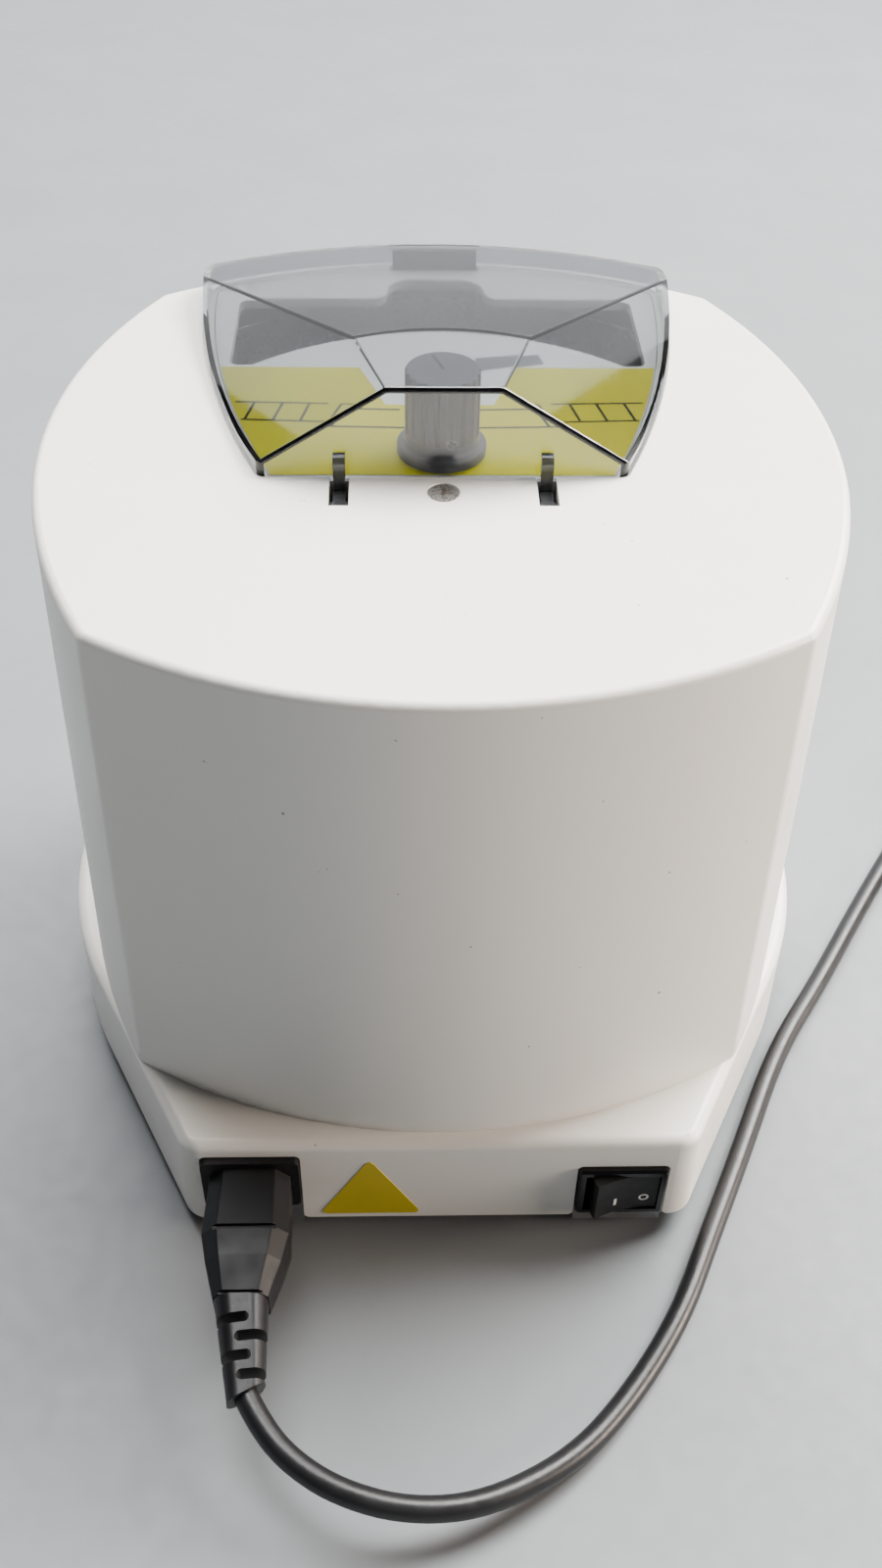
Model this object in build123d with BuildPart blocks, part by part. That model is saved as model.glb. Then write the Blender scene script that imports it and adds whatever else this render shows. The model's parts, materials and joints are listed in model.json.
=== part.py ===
from build123d import *
import os
from math import acos, asin, atan2, cos, degrees, hypot, pi, radians, sin, sqrt, tan

# Microplate centrifuge. Millimetres, +Z up. The origin is on the bench under the middle of the
# machine. The operator stands at -Y, where the lid opens; mains inlet and switch are at +Y.

os.makedirs("parts", exist_ok=True)

# ---- driving dimensions: heights ---------------------------------------------------------
foot_height = 4.0            # bench to the underside of the chassis pan
pan_gap = 5.0                # underside of the pan to the lower edge of the white base
base_height = 40.5           # white base, lower edge to its top face
body_height = 176.9          # upper housing, base top to its flat top

# ---- driving dimensions: upper housing ---------------------------------------------------
body_width = 240.6           # across the sides at the top
body_depth = 246.6           # front to rear on the centre line at the top
body_y = -0.9                # middle of the housing, front to rear
end_radius = 178.0           # front and rear faces, seen from above
side_radius = 194.0          # side faces, seen from above
body_corner = 5.0            # rounding where the faces meet
body_draft = 1.88            # degrees that the walls lean out towards the base
shell = 3.5                  # moulded wall
top_round = 2.5              # rounding of the top edge
crease_y = 28.9              # the top slopes down behind this line
rear_slope = 2.5             # degrees
frame_depth = 8.4            # thickened frame round the lid opening, below the flat top
frame_border = 4.0           # how far that frame reaches outside the lid
boss_r = 6.0                 # screw bosses in the housing's corners
boss_height = 40.0
boss_in_x = 33.8             # from the side and end faces to the bosses
boss_in_y = 33.3
boss_web = 0.08              # share of a boss's own distance that its web starts further out
boss_bore = 30.0             # depth of the bosses' screw holes
cone_back = 1.0              # hinge screw, behind the middle between the lid and the arms' slots

# ---- driving dimensions: base and pan ----------------------------------------------------
base_radius = 134.5          # round sides of the base
base_tail_x = 81.7           # half of each flat end face
base_tail_y = 132.9          # flat end faces
base_corner = 8.0
base_round = 3.5             # rounding of the top edge
base_draft = 1.5             # degrees
base_wall = 3.0
base_opening = 88.0          # radius of the hole in the base's top, over the drive
lip_height = 4.0             # locating lip inside the upper housing
lip_wall = 2.0
pan_wall = 2.0
pan_lip = 9.0                # height of the pan's rim
pan_boss_in = 15.5           # screw bosses, inside the base's round side
pan_boss_angle = 24.8        # degrees from the side
pan_boss_r = 5.0
cutout_round = 2.0           # rounding in the corners of the rear cut-outs
mouth_round = 2.0            # rounding where they open at the lower edge
foot_r = 9.0
foot_in = 9.9                # feet, inside the base's round side
foot_angle = 42.4            # degrees from the side
foot_taper = 0.88            # share of its radius at a foot's lower face
foot_stem_r = 3.0
flange_lap = 1.5             # how far the inlet's and switch's flanges lap over their panel

# ---- driving dimensions: drive -----------------------------------------------------------
rotor_y = 5.0                # rotor axis
motor_r = 35.0
motor_length = 50.0
motor_cap = 8.0              # end cap under the motor
motor_round = 4.0
motor_chamfer = 2.0
motor_plate_r = 78.0
motor_plate_corner = 117.0   # from the axis to the corners that the plate's round ends cut off
motor_plate_z = 92.0
motor_plate_thick = 3.0
motor_plate_hole_r = 8.6     # lightening holes
motor_plate_hole_ring = 48.4
motor_plate_holes = 3
motor_plate_turn = 30          # degrees, the first of them from the side
motor_post_ring = 70.0
motor_post_r = 5.0
motor_post_foot_r = 9.0
isolator_r = 8.0
isolator_height = 6.0
stud_r = 2.5
nut_across = 8.0
nut_height = 4.0
stud_free = 1.0              # stud above its nut
shaft_r = 4.0
bearing_r = 11.0
bearing_width = 7.0
motor_screw_ring = 26.0
shaft_short = 1.0            # top of the shaft below the top of the hub

# ---- driving dimensions: rotor -----------------------------------------------------------
plate_long = 127.8           # microplate footprint and height
plate_thick = 14.4
pocket_play = 0.6            # room round a plate in its carrier
rotor_play = 1.0             # carrier corners to the bowl's wall
carrier_wall = 1.6
carrier_height = 80.0
carrier_inner_height = 32.0  # low wall near the axis, and the top of its shoulders
carrier_shoulder_height = 48.0
carrier_corner = 3.0
carrier_window_w = 92.0
carrier_window_h = 40.0
disc_play = 1.4              # rim of the rotor disc to the bowl's wall
disc_thick = 3.0
disc_z = 115.4               # underside of the rotor disc
disc_hole_r = 16.0           # lightening holes
disc_hole_ring = 62.0
disc_small_ring = 34.1
disc_small_holes = 6
disc_small_turn = 30           # degrees, the first of them from the side
hub_r = 19.0
hub_height = 10.5
hub_boss_r = 12.0
hub_boss_height = 14.0
column_r = 4.8
column_chamfer = 0.6
carrier_screw_share = 0.7    # of the carrier's half length, out to its screws

# ---- driving dimensions: chamber bowl and deck -------------------------------------------
bowl_wall = 1.2
bowl_z = 101.0               # underside of the bowl
bowl_round = 6.0
bowl_hole_r = 6.4            # hole for the shaft
bowl_post_in = 15.6          # posts, inside the bowl's outer face
bowl_post_r = 5.0
bowl_post_bore = 20.0
deck_drop = 2.0              # deck below the flat top
deck_thick = 3.0
deck_border = 4.0            # from the lid's outline to the edge of the deck
deck_ledge = 4.0             # width of the ledge that carries the deck
slot_half = 67.0             # plate slot, half width
slot_over_front = 6.6        # front edge, outside the front carrier
slot_over_rear = 0.8         # middle of the slot's curved rear edge, inside that carrier
slot_rear_bow = 23.4         # how far that edge's ends lie behind its middle
slot_rear_half = 59.5
slot_round = 3.0
notch_half = 17.0            # thumb notch in the slot's front edge
notch_depth = 15.5
notch_round = 9.5
notch_sweep = 5.5            # rounding where the notch runs into the slot
film_front = -44.5           # printed film on the deck: front edge and its cut round the knob
film_cut_half = 25.0
film_cut_half_rear = 17.0
film_cut_rear = -23.0
film_thick = 0.15
deck_hole_play = 1.0         # round the drive column

# ---- driving dimensions: lid and hinge ---------------------------------------------------
lid_rear_half = 53.5
lid_rear_y = 23.2
lid_side_half = 72.0         # half width where lid_side_y crosses the side
lid_side_y = -34.0
lid_front_half = 79.5
lid_front_in = 1.6           # middle of the front edge, inside the housing's front face
lid_front_r = 170.0
lid_front_round = 8.0
lid_rear_round = 3.0
slim_round = 0.5             # least rounding of an inner corner
facet_round = 1.2            # rounding of the edges between the facets
lid_height = 27.2            # above the flat top
lid_wall = 2.5
lid_play = 0.7               # between the lid's outline and its recess
facet_front_y = -15.1        # middle of the top facet's front edge
facet_front_half = 26.0
facet_rear_half = 16.3
lid_skirt_front = 7.6        # front skirt above the flat top
lid_skirt_rear = 4.2         # side skirts above the flat top, at the rear corners
rear_lean = 1.2              # how far the rear facet leans in over its height
hinge_x = 30.0
hinge_y = 33.5
hinge_drop = 6.9             # hinge axis below the flat top
knuckle_r = 4.0
knuckle_width = 4.8
arm_width = 3.6
arm_thick = 3.1              # the arm's rib behind the lid's rear facet
arm_top = 7.4                # the rib's top above the flat top
arm_rise = 3.8               # the arm's upper face above the hinge axis
arm_round = 2.5
pin_r = 1.5
hinge_ear = 4.0
bracket_half = 40.0
bracket_rear = 42.5
bracket_height = 13.5
bracket_round = 2.0
bracket_web = 3.0            # wall behind and under the pockets that lighten the bracket
bracket_shift = 1.0          # pockets, out from half way to the arms
flag_half = 15.0
flag_thick = 2.4
flag_height = 24.0
flag_play = 1.0              # round the flag in its slots
sensor_half = 10.0
sensor_height = 12.6
sensor_gap = 0.4             # to the bowl
sensor_round = 1.0

# ---- driving dimensions: knob ------------------------------------------------------------
knob_r = 11.1
knob_flange_r = 13.4
knob_height = 24.4
knob_flange_height = 3.4
knob_gap = 0.5
knob_bore_depth = 15.9
knob_rib_sink = 0.66         # rib grooves, outside the knob's own surface
knob_ribs = 18
knob_rib_r = 1.1
knob_turn = 105.0            # degrees, the side that its set screw faces
set_screw_r = 1.6
set_screw_z = 7.5            # above the knob's lower face
set_screw_in = 1.2           # its outer end, inside the knob's side
set_screw_socket = 0.9       # radius of its hexagon socket

# ---- driving dimensions: rear panel and front controls -----------------------------------
inlet_x = 61.4
inlet_width = 31.5
inlet_height = 24.4
inlet_top = 43.4             # above the bench
inlet_depth = 24.0
socket_width = 24.6
socket_height = 16.8
socket_depth = 17.0
socket_bevel = 4.6
profile_round = 1.0          # rounding of the socket's and the connector's corners
blade_width = 4.0
blade_thick = 2.0
blade_length = 16.0
blade_tail = 5.6             # how far the blades reach in behind the socket
blade_spacing = 7.0
earth_drop = 4.0
switch_x = -59.9
switch_width = 29.4
switch_height = 24.7
switch_top = 36.2            # above the bench
switch_depth = 16.0
switch_opening = 12.3        # half width of the opening
bezel_round = 1.5
bezel_chamfer = 0.8
rocker_half = 10.6
rocker_face = 7.7            # from the pivot to the ends of the face
rocker_dish = 1.4            # how much lower the middle of the face lies
rocker_back = 4.0            # from the pivot to the rear of the rocker
rocker_bulge = 0.5           # of its curved ends
rocker_narrow = 2.0          # how much less its half width is at the rear
rocker_height = 19.0
rocker_tilt = 12.0           # degrees each way
rocker_pivot_depth = 6.0     # pivot behind the bezel's front face
rocker_pin_r = 1.4
rocker_pin_length = 1.2
flange_thick = 2.8
bezel_proud = 2.5            # flanges in front of the base's rear face
notch_margin = 0.4           # panel cut-outs round the flanges
sign_half = 17.0             # plain triangle on the rear face
sign_height = 30.5
sign_x = 23.0
sign_z = 11.3
sign_thick = 0.2
sign_round = 1.5
button_z = 30.0
button_sleeve = 1.0          # wall of the button's sleeve
sleeve_length = 17.2
sleeve_bore = 15.6           # its depth behind the panel
button_x = 14.0
button_r = 7.8
button_proud = 4.4
button_travel = 1.5
button_bezel_r = 11.0
button_bezel_thick = 1.8
button_round = 1.2
spring_r = 4.7
spring_wall = 0.8
lamp_x = -14.0
lamp_r = 3.2
lamp_proud = 1.6
lamp_dome_r = 4.2
lamp_round = 1.3
lamp_length = 9.6
panel_half_x = 29.0          # shallow pocket in the base's front
panel_half_z = 13.0
panel_pocket = 1.0

# ---- driving dimensions: fastenings and boards -------------------------------------------
screw_r = 2.0                # M4 machine screws
screw_head_r = 3.6
screw_head_height = 2.4
cone_head_r = 4.75           # countersunk hinge screw
cone_screw_r = 2.5
cone_screw_length = 12.0
cross_length = 5.6           # cross recess of the hinge screw
cross_width = 1.1
cross_depth = 1.3
pan_screw_length = 8.0
housing_screw_length = 15.0
bowl_screw_length = 16.2
board_thick = 1.6
standoff_r = 3.0
standoff_height = 6.0
standoff_in = 4.0            # standoffs, in from the boards' edges
control_half_x = 34.0
control_half_y = 19.0
control_in = 36.9            # middle of the control board, in from the front end face
supply_half_x = 38.0
supply_half_y = 22.0
supply_in = 28.9             # middle of the supply, in from the rear end face
chip_long = 11.2             # packages on the control board
chip_wide = 6.4
chip_high = 3.2
block_long = 26.6            # transformer and capacitors on the supply
block_wide = 22.0
block_x = -19.0
can_r = 5.4
can_x = 12.7
can_pitch = 20.0
block_high = 16.0

# ---- driving dimensions: power cord ------------------------------------------------------
cord_r = 3.75
connector_width = 27.4
connector_height = 20.5
connector_bevel = 5.0
connector_length = 40.8
connector_axis_z = 31.0
connector_shape = (          # along it, shares of its length, width and height
    (0.0, 0.95, 0.95), (0.5, 1.0, 1.0), (0.72, 0.86, 0.9), (1.0, 0.62, 0.7),
)
nose_root = 2.0              # how far its nose reaches into its grip
blade_room = 1.0             # its slots beyond the blades' ends
groove_shape = ((0.5, 1.0), (1.0, 0.7))  # grooves across its top, shares of length and height
groove_width = 1.6
groove_depth = 1.2
relief_width = 16.5
relief_height = 14.0
relief_end_width = 12.5
relief_end_height = 10.5
relief_slots = 4
relief_slot_width = 3.0
relief_first = 1.28          # pitches from a relief's end to its first slot, and past its last
relief_spare = 1.0
relief_aside = 0.36          # share of its width that a slot lies off the middle
section_round = 0.4          # rounding, as a share of a section's height
coil_radius = 49.5           # outermost half turn
coil_pitch = 8.5             # from one turn to the next in a layer
coil_step = 8.0              # from one layer to the next
coil_half_turns = 4          # half turns in each layer, with one that climbs between
corner_share = 0.45          # of a run of the cord that each corner's arc takes
plug_width = 27.0
plug_height = 23.0
plug_length = 34.0
plug_shape = (               # along it, shares of its length, width and height
    (0.0, 0.66, 0.66), (0.35, 0.96, 0.96), (0.8, 1.0, 1.0), (1.0, 0.9, 0.9),
)
plug_round = 0.3             # rounding, as a share of its height
plug_relief = 30.0
plug_blade_x = 6.35          # half of the distance between the flat blades
plug_blade_rise = 3.0        # flat blades above the plug's axis, and the round one below it
plug_earth_drop = 6.0
plug_blade_width = 6.3
plug_blade_thick = 1.5
plug_blade_length = 18.0
plug_earth_r = 2.4

# ---- named clearances --------------------------------------------------------------------
running = 0.05               # radial, a shaft or pin in its bore
seat = 0.3                   # between pieces that drop into or lie against each other
swing = 0.5                  # round what moves through an opening
near = 0.1                   # how close an edge lies to where it is looked for

# ---- planes and derived sizes ------------------------------------------------------------
base_z = foot_height + pan_gap
base_top = base_z + base_height
top_z = base_top + body_height
pan_floor = foot_height + pan_wall
body_grow = body_height * tan(radians(body_draft))
deck_z = top_z - deck_drop
deck_under = deck_z - deck_thick
frame_z = top_z - frame_depth
carrier_z = disc_z + disc_thick
body_rear = body_y + body_depth / 2
body_front = body_y - body_depth / 2
bowl_r = min(body_rear - rotor_y, body_width / 2) - shell - seat
disc_radius = bowl_r - bowl_wall - disc_play
carrier_half = plate_long / 2 + pocket_play + carrier_wall
carrier_reach = bowl_r - bowl_wall - rotor_play
carrier_outer = sqrt(carrier_reach**2 - (carrier_half - carrier_corner) ** 2)
plate_outer_r = carrier_outer - carrier_wall
plate_inner_r = plate_outer_r - plate_thick - pocket_play
carrier_inner = plate_inner_r - carrier_wall
slot_front = rotor_y - carrier_outer - slot_over_front
slot_rear = rotor_y - carrier_inner - slot_over_rear
slot_rear_end = slot_rear + slot_rear_bow
lid_front_y = body_front + lid_front_in
bowl_post_ring = bowl_r - bowl_post_in
sleeve_r = button_r + running + button_sleeve
boss_x = body_width / 2 - boss_in_x
boss_y = body_depth / 2 - boss_in_y
pan_boss_x = (base_radius - pan_boss_in) * cos(radians(pan_boss_angle))
pan_boss_y = (base_radius - pan_boss_in) * sin(radians(pan_boss_angle))
foot_x = (base_radius - foot_in) * cos(radians(foot_angle))
foot_y = (base_radius - foot_in) * sin(radians(foot_angle))
control_y = control_in - base_tail_y
supply_y = base_tail_y - supply_in
lid_top = top_z + lid_height
lid_bottom = deck_z + seat
hinge_z = top_z - hinge_drop
knob_z = deck_z + knob_gap
rim_z = frame_z - seat
motor_z = motor_plate_z - motor_length
rear_face = base_tail_y
flange_front = rear_face + bezel_proud
flange_back = flange_front - flange_thick
inlet_z = inlet_top - inlet_height / 2
switch_z = switch_top - switch_height / 2
pivot_y = flange_front - rocker_pivot_depth
front_pocket = base_tail_y + (base_top - button_z) * tan(radians(base_draft)) - panel_pocket
deck_inset = deck_border + seat


# ---- outlines shared by several pieces ---------------------------------------------------
def body_outline(inset, corner):
    """Four arcs, bulged front, rear and sides, moved in by inset."""
    end_y = body_depth / 2 - end_radius
    side_x = body_width / 2 - side_radius
    with BuildSketch(mode=Mode.PRIVATE) as outline:
        with Locations((0, body_y + end_y)):
            Circle(end_radius - inset)
        with Locations((0, body_y - end_y)):
            Circle(end_radius - inset, mode=Mode.INTERSECT)
        with Locations((side_x, body_y)):
            Circle(side_radius - inset, mode=Mode.INTERSECT)
        with Locations((-side_x, body_y)):
            Circle(side_radius - inset, mode=Mode.INTERSECT)
        fillet(outline.vertices(), corner)
    return outline.sketch


def base_outline(inset):
    """A disc cut flat at the front and rear, with tangents from it to the flat faces' ends."""
    reach = sqrt(base_tail_x**2 + base_tail_y**2)
    touch = atan2(base_tail_y, base_tail_x) - acos(base_radius / reach)
    touch_x = base_radius * cos(touch)
    touch_y = base_radius * sin(touch)
    with BuildSketch(mode=Mode.PRIVATE) as outline:
        Circle(base_radius)
        Rectangle(3 * base_radius, 2 * base_tail_y, mode=Mode.INTERSECT)
        with BuildLine():
            Polyline(
                (-touch_x, touch_y), (-base_tail_x, base_tail_y), (base_tail_x, base_tail_y),
                (touch_x, touch_y), (touch_x, -touch_y), (base_tail_x, -base_tail_y),
                (-base_tail_x, -base_tail_y), (-touch_x, -touch_y), close=True,
            )
        make_face()
        corners = outline.vertices().filter_by(
            lambda v: abs(abs(v.X) - base_tail_x) < near and abs(v.Y) > touch_y
        )
        fillet(corners, base_corner)
        if inset:
            offset(amount=-inset)
    return outline.sketch


def lid_outline(inset, front_extra=0.0):
    """Straight rear edge, bowed sides, arched front with rounded corners."""
    drop = lid_front_r - sqrt(lid_front_r**2 - lid_front_half**2)
    side = ThreePointArc(
        (lid_rear_half, lid_rear_y), (lid_side_half, lid_side_y),
        (lid_front_half, lid_front_y + drop),
    )
    with BuildSketch(mode=Mode.PRIVATE) as outline:
        with Locations((0, lid_front_y + lid_front_r - front_extra)):
            Circle(lid_front_r - inset)
        with Locations((side.arc_center.X, side.arc_center.Y)):
            Circle(side.radius - inset, mode=Mode.INTERSECT)
        with Locations((-side.arc_center.X, side.arc_center.Y)):
            Circle(side.radius - inset, mode=Mode.INTERSECT)
        with Locations((0, lid_rear_y - inset)):
            Rectangle(
                4 * lid_front_half, 4 * lid_front_half, align=(Align.CENTER, Align.MAX),
                mode=Mode.INTERSECT,
            )
        fillet(outline.vertices().group_by(Axis.Y)[0], max(lid_front_round - inset, slim_round))
        fillet(outline.vertices().group_by(Axis.Y)[-1], max(lid_rear_round - inset, slim_round))
    return outline.sketch


def facing_rear(x, y, z):
    """A plane across Y whose sketch has +Z up and its normal to the rear."""
    return Plane(origin=(x, y, z), x_dir=(-1, 0, 0), z_dir=(0, 1, 0))


def finish(piece, name):
    """Label a finished piece and write it to its own file."""
    piece.part.label = name
    export_step(piece.part, f"parts/{name}.step")


# ---- upper housing -----------------------------------------------------------------------
def sloped_block(inset):
    """The housing's outer form moved in by inset, down to the base, with its sloping top."""
    slope = radians(rear_slope)
    slope_plane = Plane(origin=(0, crease_y, top_z), z_dir=(0, sin(slope), cos(slope)))
    height = body_height - inset
    lean = tan(radians(body_draft))
    end_y = body_depth / 2 - end_radius
    side_x = body_width / 2 - side_radius
    with BuildPart() as block:
        for x, y, radius in (
            (0, body_y + end_y, end_radius), (0, body_y - end_y, end_radius),
            (side_x, body_y, side_radius), (-side_x, body_y, side_radius),
        ):
            with Locations((x, y, base_top)):
                Cone(
                    radius - inset + body_height * lean, radius - inset + inset * lean, height,
                    align=(Align.CENTER, Align.CENTER, Align.MIN),
                    mode=Mode.INTERSECT if block.part else Mode.ADD,
                )
        corners = block.edges().filter_by(
            lambda e: abs(e.center().Y - body_y) > body_depth / 4
            and e.bounding_box().size.Z > height / 2
        )
        fillet(corners, body_corner - inset / 2)
        split(bisect_by=slope_plane.offset(-inset), keep=Keep.BOTTOM)
    return block.part


def corner_places(x, y):
    """Four places, mirrored about the middle."""
    return [(x, y), (-x, y), (-x, -y), (x, -y)]


def ring_places(radius, angles):
    """Places round the rotor's axis."""
    return [(radius * cos(radians(a)), rotor_y + radius * sin(radians(a))) for a in angles]


flag_front = lid_front_y + lid_wall + running
flag_rear = flag_front + flag_thick
flag_top = top_z + lid_skirt_front - lid_wall - 2 * seat
slot_width = knuckle_width + 2 * swing
slot_end = hinge_y + knuckle_r + 2 * swing
cone_y = (lid_rear_y + slot_end) / 2 + cone_back
cone_z = top_z - (cone_y - crease_y) * tan(radians(rear_slope))

with BuildPart() as housing_core:
    add(sloped_block(shell))
    with BuildSketch(Plane.XY.offset(frame_z)):
        add(lid_outline(-frame_border))
    extrude(amount=frame_depth, mode=Mode.SUBTRACT)

with BuildPart() as housing_bosses:
    with BuildSketch(Plane.XY.offset(base_top)):
        with Locations(corner_places(boss_x, boss_y)):
            Circle(boss_r)
    extrude(amount=boss_height)
    for x, y in corner_places(boss_x, boss_y):
        with BuildSketch(Plane.XY.offset(base_top + lip_height + seat)):
            web = Location((x * (1 + boss_web), y * (1 + boss_web), 0), degrees(atan2(y, x)))
            with Locations(web):
                Rectangle(4 * boss_r, boss_r)
        extrude(amount=boss_height - lip_height - seat)
    add(sloped_block(shell / 2), mode=Mode.INTERSECT)

with BuildPart() as upper_housing:
    add(sloped_block(0))
    rim = upper_housing.edges().filter_by(
        lambda e: e.center().Z > top_z - 2 * top_round
        and (abs(e.center().Y - crease_y) > near or abs(e.center().X) > body_width / 4)
    )
    fillet(rim, top_round)
    add(housing_core.part, mode=Mode.SUBTRACT)
    add(housing_bosses.part)
    with Locations([(x, y, base_top) for x, y in corner_places(boss_x, boss_y)]):
        Cylinder(
            screw_r + running, boss_bore, align=(Align.CENTER, Align.CENTER, Align.MIN),
            mode=Mode.SUBTRACT,
        )
    # seat of the deck, the opening under it, and the lid's recess, open at the front
    with BuildSketch(Plane.XY.offset(frame_z)):
        add(lid_outline(deck_border + deck_ledge))
    extrude(amount=frame_depth, mode=Mode.SUBTRACT)
    with BuildSketch(Plane.XY.offset(deck_under)):
        add(lid_outline(deck_border))
    extrude(amount=frame_depth, mode=Mode.SUBTRACT)
    with BuildSketch(Plane.XY.offset(deck_z)):
        add(lid_outline(-lid_play, 2 * top_round))
    extrude(amount=frame_depth, mode=Mode.SUBTRACT)
    # slots for the hinge arms and the interlock flag
    with BuildSketch(Plane.XY.offset(frame_z - shell)):
        with Locations(
            *[(x, (lid_rear_y - seat + slot_end) / 2) for x in (-hinge_x, hinge_x)]
        ):
            Rectangle(slot_width, slot_end - lid_rear_y + seat)
        with Locations((0, (flag_front + flag_rear) / 2)):
            Rectangle(2 * (flag_half + flag_play), flag_thick + 2 * flag_play)
    extrude(amount=frame_depth + 2 * shell, mode=Mode.SUBTRACT)
    with Locations((0, cone_y, cone_z)):
        CounterSinkHole(cone_screw_r + running, cone_head_r + running, depth=2 * shell)
finish(upper_housing, "upper_housing")

# ---- base housing ------------------------------------------------------------------------
with BuildPart() as base_housing:
    with BuildSketch(Plane.XY.offset(base_top)):
        add(base_outline(0))
    extrude(amount=-base_height, taper=-base_draft)
    fillet(base_housing.edges().group_by(Axis.Z)[-1], base_round)
    with BuildSketch(Plane.XY.offset(base_top - base_wall)):
        add(base_outline(base_wall * (1 - tan(radians(base_draft)))))
    extrude(amount=-(base_height - base_wall), taper=-base_draft, mode=Mode.SUBTRACT)
    # screw bosses up from the pan
    pan_places = corner_places(pan_boss_x, pan_boss_y)
    with BuildSketch(Plane.XY.offset(pan_floor + seat)):
        with Locations(pan_places):
            Circle(pan_boss_r)
            Circle(screw_r + running, mode=Mode.SUBTRACT)
    extrude(amount=base_top - base_wall - pan_floor - seat)
    # opening over the drive, and clearance holes for the housing's screws
    with BuildSketch(Plane.XY.offset(base_top - base_wall)):
        with Locations((0, rotor_y)):
            Circle(base_opening)
        with Locations(corner_places(boss_x, boss_y)):
            Circle(screw_r + running)
    extrude(amount=base_wall, mode=Mode.SUBTRACT)
    # lip that centres the upper housing
    with BuildSketch(Plane.XY.offset(base_top)):
        add(body_outline(shell + seat - body_grow, body_corner))
        add(body_outline(shell + seat + lip_wall - body_grow, body_corner), mode=Mode.SUBTRACT)
        with Locations(corner_places(boss_x, boss_y)):
            Circle(2 * boss_r, mode=Mode.SUBTRACT)
    extrude(amount=lip_height)
    # cut-outs for the inlet and the switch, open at the lower edge
    for x, width, top in (
        (inlet_x, inlet_width, inlet_top), (switch_x, switch_width, switch_top),
    ):
        with BuildSketch(Plane.XZ.offset(-(rear_face + base_wall))):
            with Locations((x, base_z)):
                RectangleRounded(
                    width + 2 * notch_margin, 2 * (top + notch_margin - base_z), cutout_round
                )
        extrude(amount=3 * base_wall, mode=Mode.SUBTRACT)
    fillet(base_housing.edges().filter_by(Axis.Y).group_by(Axis.Z)[0], mouth_round)
    # shallow pocket at the front with holes for the button and the lamp
    with BuildSketch(Plane.XZ.offset(front_pocket)):
        with Locations((0, button_z)):
            RectangleRounded(2 * panel_half_x, 2 * panel_half_z, base_corner / 2)
    extrude(amount=2 * base_wall, mode=Mode.SUBTRACT)
    with BuildSketch(Plane.XZ.offset(front_pocket)):
        with Locations((button_x, button_z)):
            Circle(sleeve_r + swing)
        with Locations((lamp_x, button_z)):
            Circle(lamp_r + running)
    extrude(amount=-2 * base_wall, mode=Mode.SUBTRACT)
finish(base_housing, "base_housing")

# ---- chassis pan, feet and their screws --------------------------------------------------
pan_inset = base_wall + seat - (base_top - foot_height - pan_lip) * tan(radians(base_draft))
panel_y = rear_face - base_wall - seat - pan_wall
post_places = ring_places(motor_post_ring, (90, 210, 330))
motor_screw_places = ring_places(motor_screw_ring, (45, 135, 225, 315))
standoff_places = [
    (x, control_y + y)
    for x in (-control_half_x + standoff_in, control_half_x - standoff_in)
    for y in (-control_half_y + standoff_in, control_half_y - standoff_in)
] + [
    (x, supply_y + y)
    for x in (-supply_half_x + standoff_in, supply_half_x - standoff_in)
    for y in (-supply_half_y + standoff_in, supply_half_y - standoff_in)
]

with BuildPart() as bottom_pan:
    with BuildSketch(Plane.XY.offset(foot_height)):
        add(base_outline(pan_inset))
    extrude(amount=pan_lip)
    with BuildSketch(Plane.XY.offset(pan_floor)):
        add(base_outline(pan_inset + pan_wall))
    extrude(amount=pan_lip - pan_wall, mode=Mode.SUBTRACT)
    # upstands that carry the inlet and the switch in the base's cut-outs
    for x, width, height, top in (
        (inlet_x, inlet_width, inlet_height, inlet_top),
        (switch_x, switch_width, switch_height, switch_top),
    ):
        with BuildSketch(Plane.XZ.offset(-flange_back)):
            with Locations((x, foot_height)):
                RectangleRounded(width, 2 * (top - foot_height), cutout_round)
                Rectangle(
                    2 * width, 2 * width, align=(Align.CENTER, Align.MAX), mode=Mode.SUBTRACT
                )
        extrude(amount=flange_back - panel_y)
        with BuildSketch(Plane.XZ.offset(-flange_back)):
            with Locations((x, top - height / 2)):
                Rectangle(width - 2 * flange_lap, height - 2 * flange_lap)
        extrude(amount=flange_back - panel_y, mode=Mode.SUBTRACT)
    with BuildSketch(Plane.XY.offset(foot_height)):
        with Locations(pan_places):
            Circle(screw_r + running)
        with Locations(corner_places(foot_x, foot_y)):
            Circle(foot_stem_r)
    extrude(amount=pan_wall, mode=Mode.SUBTRACT)
finish(bottom_pan, "bottom_pan")

with BuildPart() as rubber_feet:
    with Locations([(x, y, 0) for x, y in corner_places(foot_x, foot_y)]):
        Cone(
            foot_taper * foot_r, foot_r, foot_height,
            align=(Align.CENTER, Align.CENTER, Align.MIN),
        )
        Cylinder(
            foot_stem_r - running, foot_height + pan_wall,
            align=(Align.CENTER, Align.CENTER, Align.MIN),
        )
finish(rubber_feet, "rubber_feet")


def round_screw(x, y, z, length, up=True):
    """A cheese-head machine screw: its head bears at height z, its shank goes up or down."""
    with BuildPart() as screw:
        with BuildSketch(Plane.XZ):
            Rectangle(screw_head_r, screw_head_height, align=(Align.MIN, Align.MAX))
            Rectangle(screw_r, length, align=(Align.MIN, Align.MIN))
        revolve(axis=Axis.Z)
    turned = screw.part if up else screw.part.mirror(Plane.XY)
    return Pos(x, y, z) * turned


def round_pillar(x, y, z, radius, height):
    """A plain round pillar standing at height z."""
    return Pos(x, y, z + height / 2) * Cylinder(radius, height, mode=Mode.PRIVATE)


with BuildPart() as pan_screws:
    for x, y in pan_places:
        add(round_screw(x, y, foot_height, pan_screw_length))
finish(pan_screws, "pan_screws")

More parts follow.
